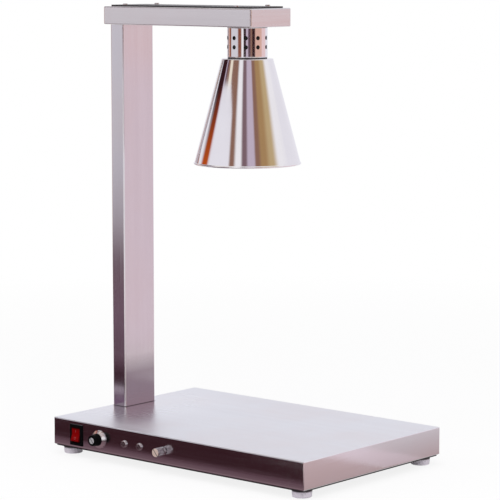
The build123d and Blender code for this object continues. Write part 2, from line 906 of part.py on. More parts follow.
# Screw cap: a sleeve with rolled thread ridges, an insulating cone and a contact tip
thread_top_z = bulb_top_z - bulb_tip_height - bulb_tip_cone
thread_pitch = (thread_top_z - cap_z) / bulb_thread_turns
cap_outline = [(0, cap_z), (cap_neck_radius, cap_z)]
for turn in range(bulb_thread_turns):
    cap_outline.append((bulb_cap_radius, cap_z + (turn + 0.5) * thread_pitch))
    cap_outline.append((cap_neck_radius, cap_z + (turn + 1) * thread_pitch))
cap_outline.append((bulb_tip_radius, thread_top_z + bulb_tip_cone))
cap_outline.append((bulb_tip_radius, bulb_top_z))
cap_outline.append((0, bulb_top_z))

with BuildPart() as bulb_cap:
    with BuildSketch(lamp_plane):
        with BuildLine():
            Polyline(*cap_outline, close=True)
        make_face()
    revolve(axis=lamp_axis)
write_part(bulb_cap, "bulb_cap")

# Rocker switch: the frame clips into the panel, and the rocker turns on two side pins
pivot_y = front_y + rocker_pivot_depth
rocker_plane = Plane(origin=(switch_x, pivot_y, control_z), x_dir=(0, -1, 0), z_dir=(-1, 0, 0))
rocker_swing = math.hypot(rocker_back, rocker_back_height / 2) + free_gap

with BuildPart() as switch_housing:
    with BuildSketch(front_plane):
        with Locations((switch_x, control_z)):
            Rectangle(switch_body_width, switch_body_height)
    extrude(amount=-(base_sheet + switch_body_depth))
    with BuildSketch(front_plane):
        with Locations((switch_x, control_z)):
            Rectangle(switch_body_width + 2 * switch_lip, switch_body_height + 2 * switch_lip)
    extrude(amount=switch_bezel_thickness)
    fillet(switch_housing.faces().sort_by(Axis.Y)[0].edges(), switch_bezel_edge)
    with BuildSketch(front_plane.offset(switch_bezel_thickness)):
        with Locations((switch_x, control_z)):
            Rectangle(switch_window_width, switch_window_height)
    extrude(
        amount=-(switch_bezel_thickness + rocker_pivot_depth + rocker_swing), mode=Mode.SUBTRACT
    )
    with BuildSketch(rocker_plane):
        Circle(rocker_pin_radius + run_gap)
    extrude(amount=switch_body_width / 2, both=True, mode=Mode.SUBTRACT)
write_part(switch_housing, "switch_housing")


# A point of the rocker's side view, turned about its pivot to the rest position
def rocker_point(out, up):
    turned_out = out * math.cos(switch_half_turn) - up * math.sin(switch_half_turn)
    turned_up = out * math.sin(switch_half_turn) + up * math.cos(switch_half_turn)
    return (turned_out, turned_up)


rocker_pin_reach = switch_window_width / 2 + switch_wall - free_gap

with BuildPart() as switch_rocker:
    with BuildSketch(rocker_plane):
        with BuildLine():
            Polyline(
                rocker_point(rocker_face, 0),
                rocker_point(rocker_tip, rocker_height / 2),
                rocker_point(-rocker_back, rocker_back_height / 2),
                rocker_point(-rocker_back, -rocker_back_height / 2),
                rocker_point(rocker_tip, -rocker_height / 2),
                close=True,
            )
        make_face()
    extrude(amount=rocker_width / 2, both=True)
    fillet(switch_rocker.edges().group_by(Axis.Y)[0], rocker_edge)
    with BuildSketch(rocker_plane):
        Circle(rocker_pin_radius)
    extrude(amount=rocker_pin_reach, both=True)
write_part(switch_rocker, "switch_rocker")

blade_plane = Plane.XZ.offset(-(panel_inside_y + switch_body_depth))
with BuildPart() as switch_terminals:
    with BuildSketch(blade_plane):
        with Locations((switch_x, control_z)):
            with GridLocations(blade_spacing_x, blade_spacing_z, 2, 2):
                Rectangle(blade_width, blade_thickness)
    extrude(amount=-blade_length)
write_part(switch_terminals, "switch_terminals")


# Half-profile plane and axis of a control: local X is the radius, local Y is out of the panel
def control_plane(x):
    return Plane(origin=(x, front_y, control_z), x_dir=(1, 0, 0), z_dir=(0, 0, -1))


def control_axis(x):
    return Axis((x, front_y, control_z), (0, -1, 0))


# Section of a shaft with its flat, or of the hole that takes it
def shaft_section(x, gap):
    with Locations((x, control_z)):
        Circle(shaft_radius + gap)
    with Locations((x, control_z + shaft_flat + gap + shaft_radius / 2)):
        Rectangle(2 * (shaft_radius + gap), shaft_radius, mode=Mode.SUBTRACT)


# Control shaft: round in its bush, with a flat where the knob sits on it
def make_shaft(x, reach):
    with BuildPart() as shaft:
        with BuildSketch(front_plane.offset(bush_length)):
            with Locations((x, control_z)):
                Circle(shaft_radius)
        extrude(amount=-(bush_length + base_sheet + shaft_tail))
        with BuildSketch(front_plane.offset(bush_length)):
            shaft_section(x, 0)
        extrude(amount=reach - bush_length)
    return shaft


# Threaded bush of a control, from the panel's inner face to its front end
def make_bush(x):
    with BuildPart() as bush:
        with BuildSketch(panel_inside_plane):
            with Locations((x, control_z)):
                Circle(bush_radius)
        extrude(amount=base_sheet + bush_length)
    return bush


# Hole that a control's shaft turns in, from the bush's front end to past the shaft's tail
def make_shaft_hole(x):
    with BuildPart() as hole:
        with BuildSketch(front_plane.offset(bush_length)):
            with Locations((x, control_z)):
                Circle(shaft_radius + run_gap)
        extrude(amount=-(bush_length + base_sheet + shaft_tail + free_gap))
    return hole


thermostat_bush = make_bush(thermostat_x)
thermostat_hole = make_shaft_hole(thermostat_x)

with BuildPart() as thermostat_body:
    with BuildSketch(panel_inside_plane):
        with Locations((thermostat_x, control_z)):
            RectangleRounded(thermostat_width, thermostat_height, thermostat_edge)
    extrude(amount=-thermostat_depth)
    add(thermostat_bush.part)
    add(thermostat_hole.part, mode=Mode.SUBTRACT)
write_part(thermostat_body, "thermostat_body")

dimmer_bush = make_bush(dimmer_x)
dimmer_hole = make_shaft_hole(dimmer_x)

with BuildPart() as dimmer_body:
    with BuildSketch(panel_inside_plane):
        with Locations((dimmer_x, control_z)):
            Circle(dimmer_body_radius)
    extrude(amount=-dimmer_body_depth)
    add(dimmer_bush.part)
    add(dimmer_hole.part, mode=Mode.SUBTRACT)
write_part(dimmer_body, "dimmer_body")

control_spots = [(thermostat_x, control_z), (dimmer_x, control_z)]
control_nuts = hex_nuts(front_plane, control_spots, bush_nut_flats, bush_nut_height, bush_radius)
write_part(control_nuts, "control_nuts")

# Thermostat knob: chrome skirt, black tapered grip and a metal end cap with a line.
# Seats are distances out from the panel's front.
skirt_seat = bush_length + free_gap
knob_seat = skirt_seat + skirt_plate
knob_shaft_end = knob_seat + knob_shaft_depth
cap_seat = knob_length + knob_cap_proud - knob_cap_thickness
cap_top = cap_seat + knob_cap_thickness

thermostat_shaft = make_shaft(thermostat_x, knob_shaft_end - fit_gap)
write_part(thermostat_shaft, "thermostat_shaft")

with BuildPart() as knob_skirt:
    with BuildSketch(control_plane(thermostat_x)):
        with BuildLine():
            Polyline(
                (shaft_radius + fit_gap, skirt_seat),
                (shaft_radius + fit_gap, knob_seat),
                (knob_base_radius, knob_seat),
                (skirt_radius, free_gap + skirt_rim),
                (skirt_radius, free_gap),
                (skirt_radius - skirt_plate, free_gap),
                (knob_base_radius - skirt_plate, skirt_seat),
                close=True,
            )
        make_face()
    revolve(axis=control_axis(thermostat_x))
write_part(knob_skirt, "knob_skirt")

with BuildPart() as thermostat_knob:
    with BuildSketch(front_plane.offset(knob_seat)):
        with Locations((thermostat_x, control_z)):
            Circle(knob_base_radius)
            with PolarLocations(knob_base_radius, knob_flute_count):
                Circle(knob_flute_radius, mode=Mode.SUBTRACT)
    with BuildSketch(front_plane.offset(knob_length)):
        with Locations((thermostat_x, control_z)):
            Circle(knob_end_radius)
            with PolarLocations(knob_end_radius, knob_flute_count):
                Circle(knob_flute_radius, mode=Mode.SUBTRACT)
    loft()
    with BuildSketch(front_plane.offset(knob_length)):
        with Locations((thermostat_x, control_z)):
            Circle(knob_cap_radius + fit_gap)
    extrude(amount=cap_seat - knob_length, mode=Mode.SUBTRACT)
    with BuildSketch(front_plane.offset(knob_seat)):
        shaft_section(thermostat_x, run_gap)
    extrude(amount=knob_shaft_depth, mode=Mode.SUBTRACT)
write_part(thermostat_knob, "thermostat_knob")

with BuildPart() as knob_cap:
    with BuildSketch(front_plane.offset(cap_seat)):
        with Locations((thermostat_x, control_z)):
            Circle(knob_cap_radius)
    extrude(amount=knob_cap_thickness)
    with BuildSketch(front_plane.offset(cap_top)):
        with Locations((thermostat_x, control_z)):
            Rectangle(2 * knob_cap_radius, knob_line_width, rotation=knob_line_angle)
    extrude(amount=-knob_line_depth, mode=Mode.SUBTRACT)
write_part(knob_cap, "knob_cap")

# Dimmer knob: knurled metal with a smooth end and a line across it
dimmer_seat = bush_length + free_gap
dimmer_shaft_end = dimmer_seat + dimmer_shaft_depth
dimmer_shaft = make_shaft(dimmer_x, dimmer_shaft_end - fit_gap)
write_part(dimmer_shaft, "dimmer_shaft")

with BuildPart() as dimmer_knob:
    with BuildSketch(front_plane.offset(dimmer_seat)):
        with Locations((dimmer_x, control_z)):
            Circle(dimmer_knob_radius)
            with PolarLocations(dimmer_knob_radius, dimmer_knurl_count):
                Rectangle(dimmer_knurl_size, dimmer_knurl_size, rotation=45, mode=Mode.SUBTRACT)
    extrude(amount=dimmer_knob_length - dimmer_knurl_from_end - dimmer_seat)
    with BuildSketch(front_plane.offset(dimmer_knob_length - dimmer_knurl_from_end)):
        with Locations((dimmer_x, control_z)):
            Circle(dimmer_knob_radius)
    extrude(amount=dimmer_knurl_from_end)
    fillet(dimmer_knob.faces().sort_by(Axis.Y)[0].edges(), dimmer_knob_edge)
    with BuildSketch(front_plane.offset(dimmer_knob_length)):
        with Locations((dimmer_x, control_z)):
            Rectangle(2 * dimmer_knob_radius, knob_line_width, rotation=knob_line_angle)
    extrude(amount=-knob_line_depth, mode=Mode.SUBTRACT)
    with BuildSketch(front_plane.offset(dimmer_seat)):
        shaft_section(dimmer_x, run_gap)
    extrude(amount=dimmer_shaft_depth, mode=Mode.SUBTRACT)
write_part(dimmer_knob, "dimmer_knob")

# Power control: two panel screws hold a heat sink angle, which carries the board
heat_sink_x = panel_screw_x + panel_screw_spacing / 2
heat_sink_z = control_z - heat_sink_height / 2
heat_sink_inside_y = panel_inside_y + heat_sink_thickness

with BuildPart() as heat_sink:
    with BuildSketch(panel_inside_plane):
        with Locations((heat_sink_x, control_z)):
            Rectangle(heat_sink_width, heat_sink_height)
        with Locations(*panel_spots):
            Circle(large_screw_radius + hole_gap, mode=Mode.SUBTRACT)
    extrude(amount=-heat_sink_thickness)
    with BuildSketch(level(heat_sink_z)):
        with Locations((heat_sink_x, panel_inside_y + heat_sink_depth / 2)):
            Rectangle(heat_sink_width, heat_sink_depth)
    extrude(amount=heat_sink_thickness)
write_part(heat_sink, "heat_sink")

panel_screws = pan_screws(
    front_plane,
    panel_spots,
    large_screw,
    base_sheet + heat_sink_thickness + large_nut_height + thread_stub,
    knob_line_angle,
)
write_part(panel_screws, "panel_screws")

panel_nut_plane = Plane(
    origin=(0, heat_sink_inside_y, 0), x_dir=(1, 0, 0), z_dir=(0, 1, 0)
)
panel_nuts = hex_nuts(
    panel_nut_plane, [(x, -z) for x, z in panel_spots], large_nut_flats, large_nut_height, large_screw_radius
)
write_part(panel_nuts, "panel_nuts")

board_length = heat_sink_width - 2 * board_margin
board_front_y = heat_sink_inside_y + large_nut_height + thread_stub + board_nut_gap
board_depth = panel_inside_y + heat_sink_depth - board_front_y
board_y = board_front_y + board_depth / 2
spacer_z = heat_sink_z + heat_sink_thickness
board_z = spacer_z + board_spacer_height
board_top_z = board_z + board_thickness
spacer_spacing_x = board_length - 2 * board_spacer_inset
spacer_spacing_y = board_depth - 2 * board_spacer_inset
half_board_middle = board_length / 4

with BuildPart() as control_board:
    with BuildSketch(level(board_z)):
        with Locations((heat_sink_x, board_y)):
            Rectangle(board_length, board_depth)
    extrude(amount=board_thickness)
    with BuildSketch(level(spacer_z)):
        with Locations((heat_sink_x, board_y)):
            with GridLocations(spacer_spacing_x, spacer_spacing_y, 2, 2):
                Circle(board_spacer_radius)
    extrude(amount=board_spacer_height)
    with BuildSketch(level(board_top_z)):
        with Locations((heat_sink_x - half_board_middle, board_y)):
            Circle(coil_radius)
            Circle(coil_bore_radius, mode=Mode.SUBTRACT)
    extrude(amount=coil_height)
    with BuildSketch(level(board_top_z)):
        with Locations((heat_sink_x + half_board_middle, board_y)):
            with GridLocations(0, capacitor_pitch, 1, 2):
                Rectangle(capacitor_length, capacitor_width)
    extrude(amount=capacitor_height)
write_part(control_board, "control_board")

# Terminal block on the bottom cover, screwed on from below
with BuildPart() as terminal_block:
    with BuildSketch(level(floor_z)):
        with Locations((terminal_x, 0)):
            Rectangle(terminal_length, terminal_width)
        with Locations(*terminal_spots):
            Circle(small_screw_radius + run_gap, mode=Mode.SUBTRACT)
    extrude(amount=terminal_screw_depth)
    with BuildSketch(level(floor_z + terminal_screw_depth)):
        with Locations((terminal_x, 0)):
            Rectangle(terminal_length, terminal_width)
    extrude(amount=terminal_height - terminal_screw_depth)
    with BuildSketch(Plane.XZ.offset(terminal_width / 2)):
        with Locations((terminal_x, lead_low_z)):
            with GridLocations(terminal_length / terminal_poles, 0, terminal_poles, 1):
                Circle(terminal_entry_radius)
    extrude(amount=-terminal_entry_depth, mode=Mode.SUBTRACT)
write_part(terminal_block, "terminal_block")

terminal_screws = pan_screws(
    facing_down(bottom_z),
    [(x, -y) for x, y in terminal_spots],
    small_screw,
    bottom_thickness + terminal_screw_depth,
)
write_part(terminal_screws, "terminal_screws")

# Cable gland in the rear wall: body, lock nut, cap and seal on one bore
gland_plane = Plane(origin=(gland_x, rear_y, control_z), x_dir=(1, 0, 0), z_dir=(0, 1, 0))
gland_nose_end = gland_flange + gland_nose
gland_seat = gland_nose_end - gland_seal_length

with BuildPart() as gland_body:
    with BuildSketch(gland_plane):
        RegularPolygon(gland_flats / 2, 6, major_radius=False)
    extrude(amount=gland_flange)
    with BuildSketch(gland_plane.offset(-(base_sheet + gland_tail))):
        Circle(gland_thread_radius)
    extrude(amount=base_sheet + gland_tail + gland_nose_end)
    with BuildSketch(gland_plane.offset(-(base_sheet + gland_tail))):
        Circle(gland_bore_radius)
    extrude(amount=base_sheet + gland_tail + gland_nose_end, mode=Mode.SUBTRACT)
    with BuildSketch(gland_plane.offset(gland_seat)):
        Circle(gland_seal_radius + fit_gap)
    extrude(amount=gland_seal_length, mode=Mode.SUBTRACT)
write_part(gland_body, "gland_body")

with BuildPart() as gland_locknut:
    with BuildSketch(gland_plane.offset(-base_sheet)):
        RegularPolygon(gland_flats / 2, 6, major_radius=False)
        Circle(gland_thread_radius + run_gap, mode=Mode.SUBTRACT)
    extrude(amount=-gland_locknut_height)
write_part(gland_locknut, "gland_locknut")

with BuildPart() as gland_seal:
    with BuildSketch(gland_plane.offset(gland_seat)):
        Circle(gland_seal_radius)
        Circle(gland_bore_radius, mode=Mode.SUBTRACT)
    extrude(amount=gland_seal_length)
write_part(gland_seal, "gland_seal")

with BuildPart() as gland_cap:
    with BuildSketch(gland_plane.offset(gland_flange)):
        Circle(gland_cap_radius)
    extrude(amount=gland_cap_length)
    fillet(gland_cap.faces().sort_by(Axis.Y)[-1].edges(), gland_cap_edge)
    with BuildSketch(gland_plane.offset(gland_flange)):
        Circle(gland_thread_radius + run_gap)
    extrude(amount=gland_cap_length - gland_cap_front, mode=Mode.SUBTRACT)
    with BuildSketch(gland_plane.offset(gland_flange)):
        Circle(gland_cap_hole_radius)
    extrude(amount=gland_cap_length, mode=Mode.SUBTRACT)
write_part(gland_cap, "gland_cap")

# Lamp lead: terminal block, column, arm, socket nipple, all in the middle plane
lead_end_z = nipple_z + free_gap
with BuildPart() as lamp_lead:
    with BuildLine(Plane.XZ):
        FilletPolyline(
            (terminal_left, lead_low_z),
            (column_x, lead_low_z),
            (column_x, lead_high_z),
            (lamp_x, lead_high_z),
            (lamp_x, lead_end_z),
            radius=[lead_base_bend, lead_arm_bend, lead_drop_bend],
        )
    with BuildSketch(Plane.YZ.offset(terminal_left)):
        with Locations((0, lead_low_z)):
            Circle(lead_radius)
    sweep()
write_part(lamp_lead, "lamp_lead")

# Grommets where the lead leaves the base and enters the arm
with BuildPart() as lead_grommets:
    for rim_z, rim_side, sleeve in (
        (stiffener_z, -1, stiffener_thickness + base_sheet),
        (arm_floor_z, 1, arm_sheet),
    ):
        with BuildSketch(level(rim_z)):
            with Locations(column_spot):
                Circle(lead_hole_radius + grommet_rim)
                Circle(lead_radius + free_gap, mode=Mode.SUBTRACT)
        extrude(amount=rim_side * grommet_rim_height)
        with BuildSketch(level(rim_z)):
            with Locations(column_spot):
                Circle(lead_hole_radius - fit_gap)
                Circle(lead_radius + free_gap, mode=Mode.SUBTRACT)
        extrude(amount=-rim_side * sleeve)
write_part(lead_grommets, "lead_grommets")
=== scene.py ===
import json
import math
import bmesh
import bpy
import numpy as np
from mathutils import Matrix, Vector


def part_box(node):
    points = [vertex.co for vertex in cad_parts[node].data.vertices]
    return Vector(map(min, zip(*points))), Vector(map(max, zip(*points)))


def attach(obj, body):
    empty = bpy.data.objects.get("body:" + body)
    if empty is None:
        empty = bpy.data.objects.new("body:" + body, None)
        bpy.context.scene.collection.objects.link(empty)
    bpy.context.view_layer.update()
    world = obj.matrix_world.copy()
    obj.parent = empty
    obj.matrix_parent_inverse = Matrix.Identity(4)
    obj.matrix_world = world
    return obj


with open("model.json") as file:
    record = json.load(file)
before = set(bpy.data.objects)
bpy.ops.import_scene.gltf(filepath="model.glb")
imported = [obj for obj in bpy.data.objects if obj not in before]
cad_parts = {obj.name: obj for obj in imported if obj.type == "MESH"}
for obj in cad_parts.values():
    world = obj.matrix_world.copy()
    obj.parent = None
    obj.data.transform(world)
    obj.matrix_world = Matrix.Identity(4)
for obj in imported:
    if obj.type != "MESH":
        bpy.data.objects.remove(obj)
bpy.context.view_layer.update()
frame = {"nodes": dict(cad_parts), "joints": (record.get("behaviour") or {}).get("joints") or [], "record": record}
nodes = frame["nodes"]
print("frame:", len(nodes), "CAD pieces")

xAxis, yAxis, zAxis = range(3)


# A node socket that takes part in sums: each operator adds its Math node.
class Wire:
    def __init__(self, tree, socket=None):
        self.tree = tree
        self.socket = socket

    # a node of this kind: settings first, then values or wires on its sockets; gives one output
    def make(self, kind, settings=None, inputs=None, out=0):
        node = self.tree.nodes.new(kind)
        for key, value in (settings or {}).items():
            if key == "stops":
                node.color_ramp.interpolation = "EASE"
                elements = node.color_ramp.elements
                elements.remove(elements[1])
                elements[0].position, elements[0].color = value[0]
                for place, colour in value[1:]:
                    elements.new(place).color = colour
            else:
                setattr(node, key, value)
        for key, value in (inputs or {}).items():
            if isinstance(value, Wire):
                self.tree.links.new(value.socket, node.inputs[key])
            else:
                node.inputs[key].default_value = value
        return Wire(self.tree, node.outputs[out] if node.outputs else None)

    def maths(self, operation, first, second=0.0):
        return self.make("ShaderNodeMath", {"operation": operation}, {0: first, 1: second})

    def __add__(self, other):
        return self.maths("ADD", self, other)

    def __radd__(self, other):
        return self.maths("ADD", other, self)

    def __sub__(self, other):
        return self.maths("SUBTRACT", self, other)

    def __rsub__(self, other):
        return self.maths("SUBTRACT", other, self)

    def __mul__(self, other):
        return self.maths("MULTIPLY", self, other)

    def __rmul__(self, other):
        return self.maths("MULTIPLY", other, self)

    def __gt__(self, other):
        return self.maths("GREATER_THAN", self, other)

    def __lt__(self, other):
        return self.maths("LESS_THAN", self, other)

    def __abs__(self):
        return self.maths("ABSOLUTE", self)


# Shared steps of the finishes

def opaque(colour):
    return (*colour, 1.0)


def spot(sheet, scale=(1.0, 1.0, 1.0)):
    where = sheet.make("ShaderNodeTexCoord", out="Object")
    return sheet.make("ShaderNodeMapping", None, {"Vector": where, "Scale": scale})


def component(sheet, vector, axis):
    return sheet.make("ShaderNodeSeparateXYZ", None, {0: vector}, out=axis)


def past(sheet, axis, zero=0.0):  # how far the point lies past "zero" along an axis, in metres
    return component(sheet, spot(sheet), axis) - zero


def facing(sheet, axis):  # the surface's own direction, along one of the object's axes
    return component(sheet, sheet.make("ShaderNodeTexCoord", out="Normal"), axis)


def cloud(sheet, vector, scale, detail=2.0):
    inputs = {"Vector": vector, "Scale": scale, "Detail": detail}
    return sheet.make("ShaderNodeTexNoise", None, inputs)


def swing(noise, amount, middle=0.5):  # a noise's ups and downs about its middle
    return (noise - middle) * amount


def tint(sheet, share, first, second):
    inputs = {0: share, 6: first, 7: second}
    return sheet.make("ShaderNodeMix", {"data_type": "RGBA"}, inputs, out=2)


def ramped(sheet, value, low, high):  # 0 up to low, 1 from high on
    return sheet.make("ShaderNodeMapRange", None, {0: value, 1: low, 2: high, 3: 0.0, 4: 1.0})


# "relief" in a dictionary below holds this strength and distance
def relief(sheet, height, strength, distance):
    inputs = {"Height": height, "Strength": strength, "Distance": distance}
    return sheet.make("ShaderNodeBump", None, inputs)


def hypotenuse(sheet, first, second):
    return sheet.maths("SQRT", first * first + second * second)


def newMaterial(name, shader):  # shader(sheet) gives the wire of the whole surface
    material = bpy.data.materials.new(name)
    material.use_nodes = True
    material.node_tree.nodes.clear()
    sheet = Wire(material.node_tree)
    sheet.make("ShaderNodeOutputMaterial", None, {"Surface": shader(sheet)})
    return material


def paint(name, recipe):  # recipe(sheet) gives what goes on the sockets of the shader
    def shader(sheet):
        return sheet.make("ShaderNodeBsdfPrincipled", None, recipe(sheet))

    return newMaterial(name, shader)


# Satin steel: fine scratches drawn out along one axis, faint broad bands and hand smudges
steel = {
    "light": (0.76, 0.74, 0.77),
    "dark": (0.66, 0.635, 0.665),
    "warm": (0.70, 0.645, 0.65),
    "warmShare": 0.5,
    "warmFrom": 0.42,  # the smudge's strength where the warm patch begins, and where it is full
    "warmTo": 0.70,
    "roughness": 0.17,
    "scratchGloss": 0.14,  # how far scratches and smudges move the roughness
    "smudgeGloss": 0.06,
    "scratch": (7.0, 430.0),  # repeats per metre along the grain and across it
    "band": (1.75, 60.0),
    "smudge": 9.0,
    "endFrom": 0.7,  # a face that looks this far along the grain is an end face
    "relief": (0.25, 0.00012),
}
baseSteel = {
    **steel,
    "light": (0.836, 0.852, 0.882),
    "dark": (0.745, 0.752, 0.782),
    "warm": (0.785, 0.75, 0.76),
    "roughness": 0.15,
}
armSteel = {**steel, "light": (0.76, 0.732, 0.735), "dark": (0.66, 0.627, 0.635)}


def grainVector(sheet, axis, repeats):
    scale = [repeats[1]] * 3
    scale[axis] = repeats[0]
    return spot(sheet, scale=tuple(scale))


# an extra step may change colour and roughness where a piece has wear marks or painted shade of its own
def brushedSteel(name, axis, endAxis=None, marksAndShade=None, look=steel):
    def grain(sheet, repeats):
        main = grainVector(sheet, axis, repeats)
        if endAxis is None:
            return main
        ends = abs(facing(sheet, axis)) > look["endFrom"]  # end faces have their own grain
        inputs = {0: ends, 4: main, 5: grainVector(sheet, endAxis, repeats)}
        return sheet.make("ShaderNodeMix", {"data_type": "VECTOR"}, inputs, out=1)

    def recipe(sheet):
        scratch = cloud(sheet, grain(sheet, look["scratch"]), 1.0, detail=3.0)
        band = cloud(sheet, grain(sheet, look["band"]), 1.0, detail=1.0)
        smudge = cloud(sheet, spot(sheet), look["smudge"], detail=3.0)
        light = (scratch + band) * 0.5
        colour = tint(sheet, light, opaque(look["dark"]), opaque(look["light"]))
        patch = ramped(sheet, smudge, look["warmFrom"], look["warmTo"]) * look["warmShare"]
        colour = tint(sheet, patch, colour, opaque(look["warm"]))
        roughness = look["roughness"] + swing(scratch, look["scratchGloss"])
        roughness = roughness + swing(smudge, look["smudgeGloss"])
        if marksAndShade is not None:
            colour, roughness = marksAndShade(sheet, colour, roughness)
        return {
            "Base Color": colour,
            "Metallic": 1.0,
            "Roughness": roughness,
            "Normal": relief(sheet, scratch, *look["relief"]),
        }

    return paint(name, recipe)


# Base: a coarser satin on top where trays slide, smoother towards the column, with a painted
# contact shadow round the column's foot, and painted shade on its downward-facing lower rim
columnLow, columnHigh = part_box("column_tube")
baseWearAndShade = {
    "topRoughness": 0.22,
    "topFrom": 0.7,  # a face that looks up this far is the top
    "shelter": 0.8,  # how much less of the coarseness there is at the column
    "shelterReach": 0.16,
    # painted shadow: a dark line on the base where the column stands on it
    "grime": (0.10, 0.075, 0.09),
    "grimeFrom": 0.0003,  # full this near to the column, gone at its reach
    "grimeReach": 0.0016,
    # painted shade on the lower rim, where its faces look down
    "rim": (0.13, 0.105, 0.115),
    "rimFrom": -0.35,  # begins where a face looks down this far, and is full at the next
    "rimTo": -0.75,
}


def baseMarksAndShade(sheet, colour, roughness, look=baseWearAndShade):
    middle = (columnLow + columnHigh) / 2
    reach = (columnHigh - columnLow) / 2
    outX = sheet.maths("MAXIMUM", abs(past(sheet, xAxis, middle.x)) - reach.x, 0.0)
    outY = sheet.maths("MAXIMUM", abs(past(sheet, yAxis, middle.y)) - reach.y, 0.0)
    away = hypotenuse(sheet, outX, outY)
    # painted contact shadow, full at the column's side and gone at its reach
    clear = ramped(sheet, away, look["grimeFrom"], look["grimeReach"])
    upward = facing(sheet, zAxis)
    # painted shade: darker where a face looks down
    rim = ramped(sheet, upward, look["rimFrom"], look["rimTo"])
    colour = tint(sheet, rim, colour, opaque(look["rim"]))
    scuffed = 1 - ramped(sheet, away, look["shelterReach"], 0.0) * look["shelter"]
    roughness = roughness + (upward > look["topFrom"]) * scuffed * look["topRoughness"]
    return tint(sheet, clear, opaque(look["grime"]), colour), roughness


# Column: painted reflection, darker on its flat faces towards the foot, and a painted contact shadow in the last
# millimetre
columnShadeAndPolish = {
    # painted reflection: the colour the flat faces darken to near the foot
    "tint": (0.34, 0.28, 0.32),
    "tintFrom": 0.056,  # full up to this height over the foot, gone at the next
    "tintTo": 0.088,
    "flatFrom": 0.99,  # a face that looks this far along an axis is a flat one
    "polish": 0.08,  # how much smoother the tinted part is in front
    # painted contact shadow in the last millimetre above the base
    "grime": (0.09, 0.07, 0.08),
    "grimeFrom": 0.0004,
    "grimeHeight": 0.0012,
}


def columnShadeMarks(sheet, colour, roughness, look=columnShadeAndPolish):
    height = past(sheet, zAxis, columnLow.z)
    outX = facing(sheet, xAxis)
    outY = facing(sheet, yAxis)
    flat = sheet.maths("MAXIMUM", abs(outX), abs(outY)) > look["flatFrom"]
    front = outY < -look["flatFrom"]
    # painted reflection: the flat faces grow darker towards the foot
    footReflection = flat * ramped(sheet, height, look["tintTo"], look["tintFrom"])
    colour = tint(sheet, footReflection, colour, opaque(look["tint"]))
    # painted contact shadow at the column's foot
    clear = ramped(sheet, height, look["grimeFrom"], look["grimeHeight"])
    roughness = roughness - footReflection * front * look["polish"]
    return tint(sheet, clear, opaque(look["grime"]), colour), roughness


# Polished plate: clear reflections, with the faint rings of spinning and a few wiped marks
chrome = {
    "colour": (0.87, 0.855, 0.87),
    "worn": (0.81, 0.79, 0.81),
    "roughness": 0.055,
    "wiped": 22.0,
    "wipedLevel": 0.4,  # the wiped mark that leaves the roughness as it is
    "wipedGloss": 0.05,
    "ringPitch": 700.0,
    "ringGloss": 0.03,
    "relief": (0.02, 0.0001),
}
# Where the shade was left unpolished, and where the collar is painted near-black as shade: on faces
# that look away from the lamp's axis by less than "below"
shadeBare = {"below": -0.2, "colour": (0.5, 0.49, 0.5), "moreRoughness": 0.3}
# the collar's bore and vent-hole walls get painted shade, and a painted shadow line runs under the arm
collarShade = {
    "below": 0.6,
    "colour": (0.012, 0.011, 0.012),
    "moreRoughness": 0.6,
    "sootHeight": 0.0014,
}
shadeLow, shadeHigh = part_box("lamp_shade")
lampX = (shadeLow.x + shadeHigh.x) / 2


# inside gives 1 on the shade's unpolished inside and on the collar's faces that get painted shade
def polishedPlate(name, inside=None, bareOrShadeLook=None, look=chrome):
    def recipe(sheet):
        rings = cloud(sheet, spot(sheet, scale=(1.0, 1.0, look["ringPitch"])), 1.0)
        wiped = cloud(sheet, spot(sheet), look["wiped"], detail=4.0)
        colour = tint(sheet, wiped, opaque(look["colour"]), opaque(look["worn"]))
        roughness = look["roughness"] + swing(wiped, look["wipedGloss"], look["wipedLevel"])
        roughness = roughness + swing(rings, look["ringGloss"])
        if inside is not None:
            unpolishedOrShaded = inside(sheet, bareOrShadeLook)
            colour = tint(sheet, unpolishedOrShaded, colour, opaque(bareOrShadeLook["colour"]))
            roughness = roughness + unpolishedOrShaded * bareOrShadeLook["moreRoughness"]
        return {
            "Base Color": colour,
            "Metallic": 1.0,
            "Roughness": roughness,
            "Normal": relief(sheet, rings, *look["relief"]),
        }

    return paint(name, recipe)


def awayFromLamp(sheet):  # 1 where a face looks straight away from the lamp's axis, -1 towards it
    x = past(sheet, xAxis, lampX)
    y = past(sheet, yAxis)
    outward = x * facing(sheet, xAxis) + y * facing(sheet, yAxis)
    return sheet.maths("DIVIDE", outward, hypotenuse(sheet, x, y))


def shadeInside(sheet, bareOrShadeLook):
    return awayFromLamp(sheet) < bareOrShadeLook["below"]


def collarShadedFaces(sheet, bareOrShadeLook):  # painted shade in its bore and its vent holes' walls, and a painted shadow line under the arm
    bore = awayFromLamp(sheet) < bareOrShadeLook["below"]
    armShadow = past(sheet, zAxis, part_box("vent_collar")[1].z) > -bareOrShadeLook["sootHeight"]
    return sheet.maths("MAXIMUM", bore, armShadow)


# Plain metal parts: screws, nuts, blocks, brass and aluminium pieces
plainLook = {
    "grain": 160.0,
    "mottleGloss": 0.16,
    "scuffFiner": 4.0,  # scuffs to a grain
    "scuffScale": (1.0, 1.0, 6.0),
    "relief": (0.12, 0.0001),
}


def plainMetal(name, colour, worn, roughness, look=plainLook):
    def recipe(sheet):
        mottle = cloud(sheet, spot(sheet), look["grain"], detail=3.0)
        drawnOut = spot(sheet, scale=look["scuffScale"])
        scuff = cloud(sheet, drawnOut, look["grain"] * look["scuffFiner"])
        return {
            "Base Color": tint(sheet, mottle, opaque(colour), opaque(worn)),
            "Metallic": 1.0,
            "Roughness": roughness + swing(mottle, look["mottleGloss"]),
            "Normal": relief(sheet, scuff, *look["relief"]),
        }

    return paint(name, recipe)


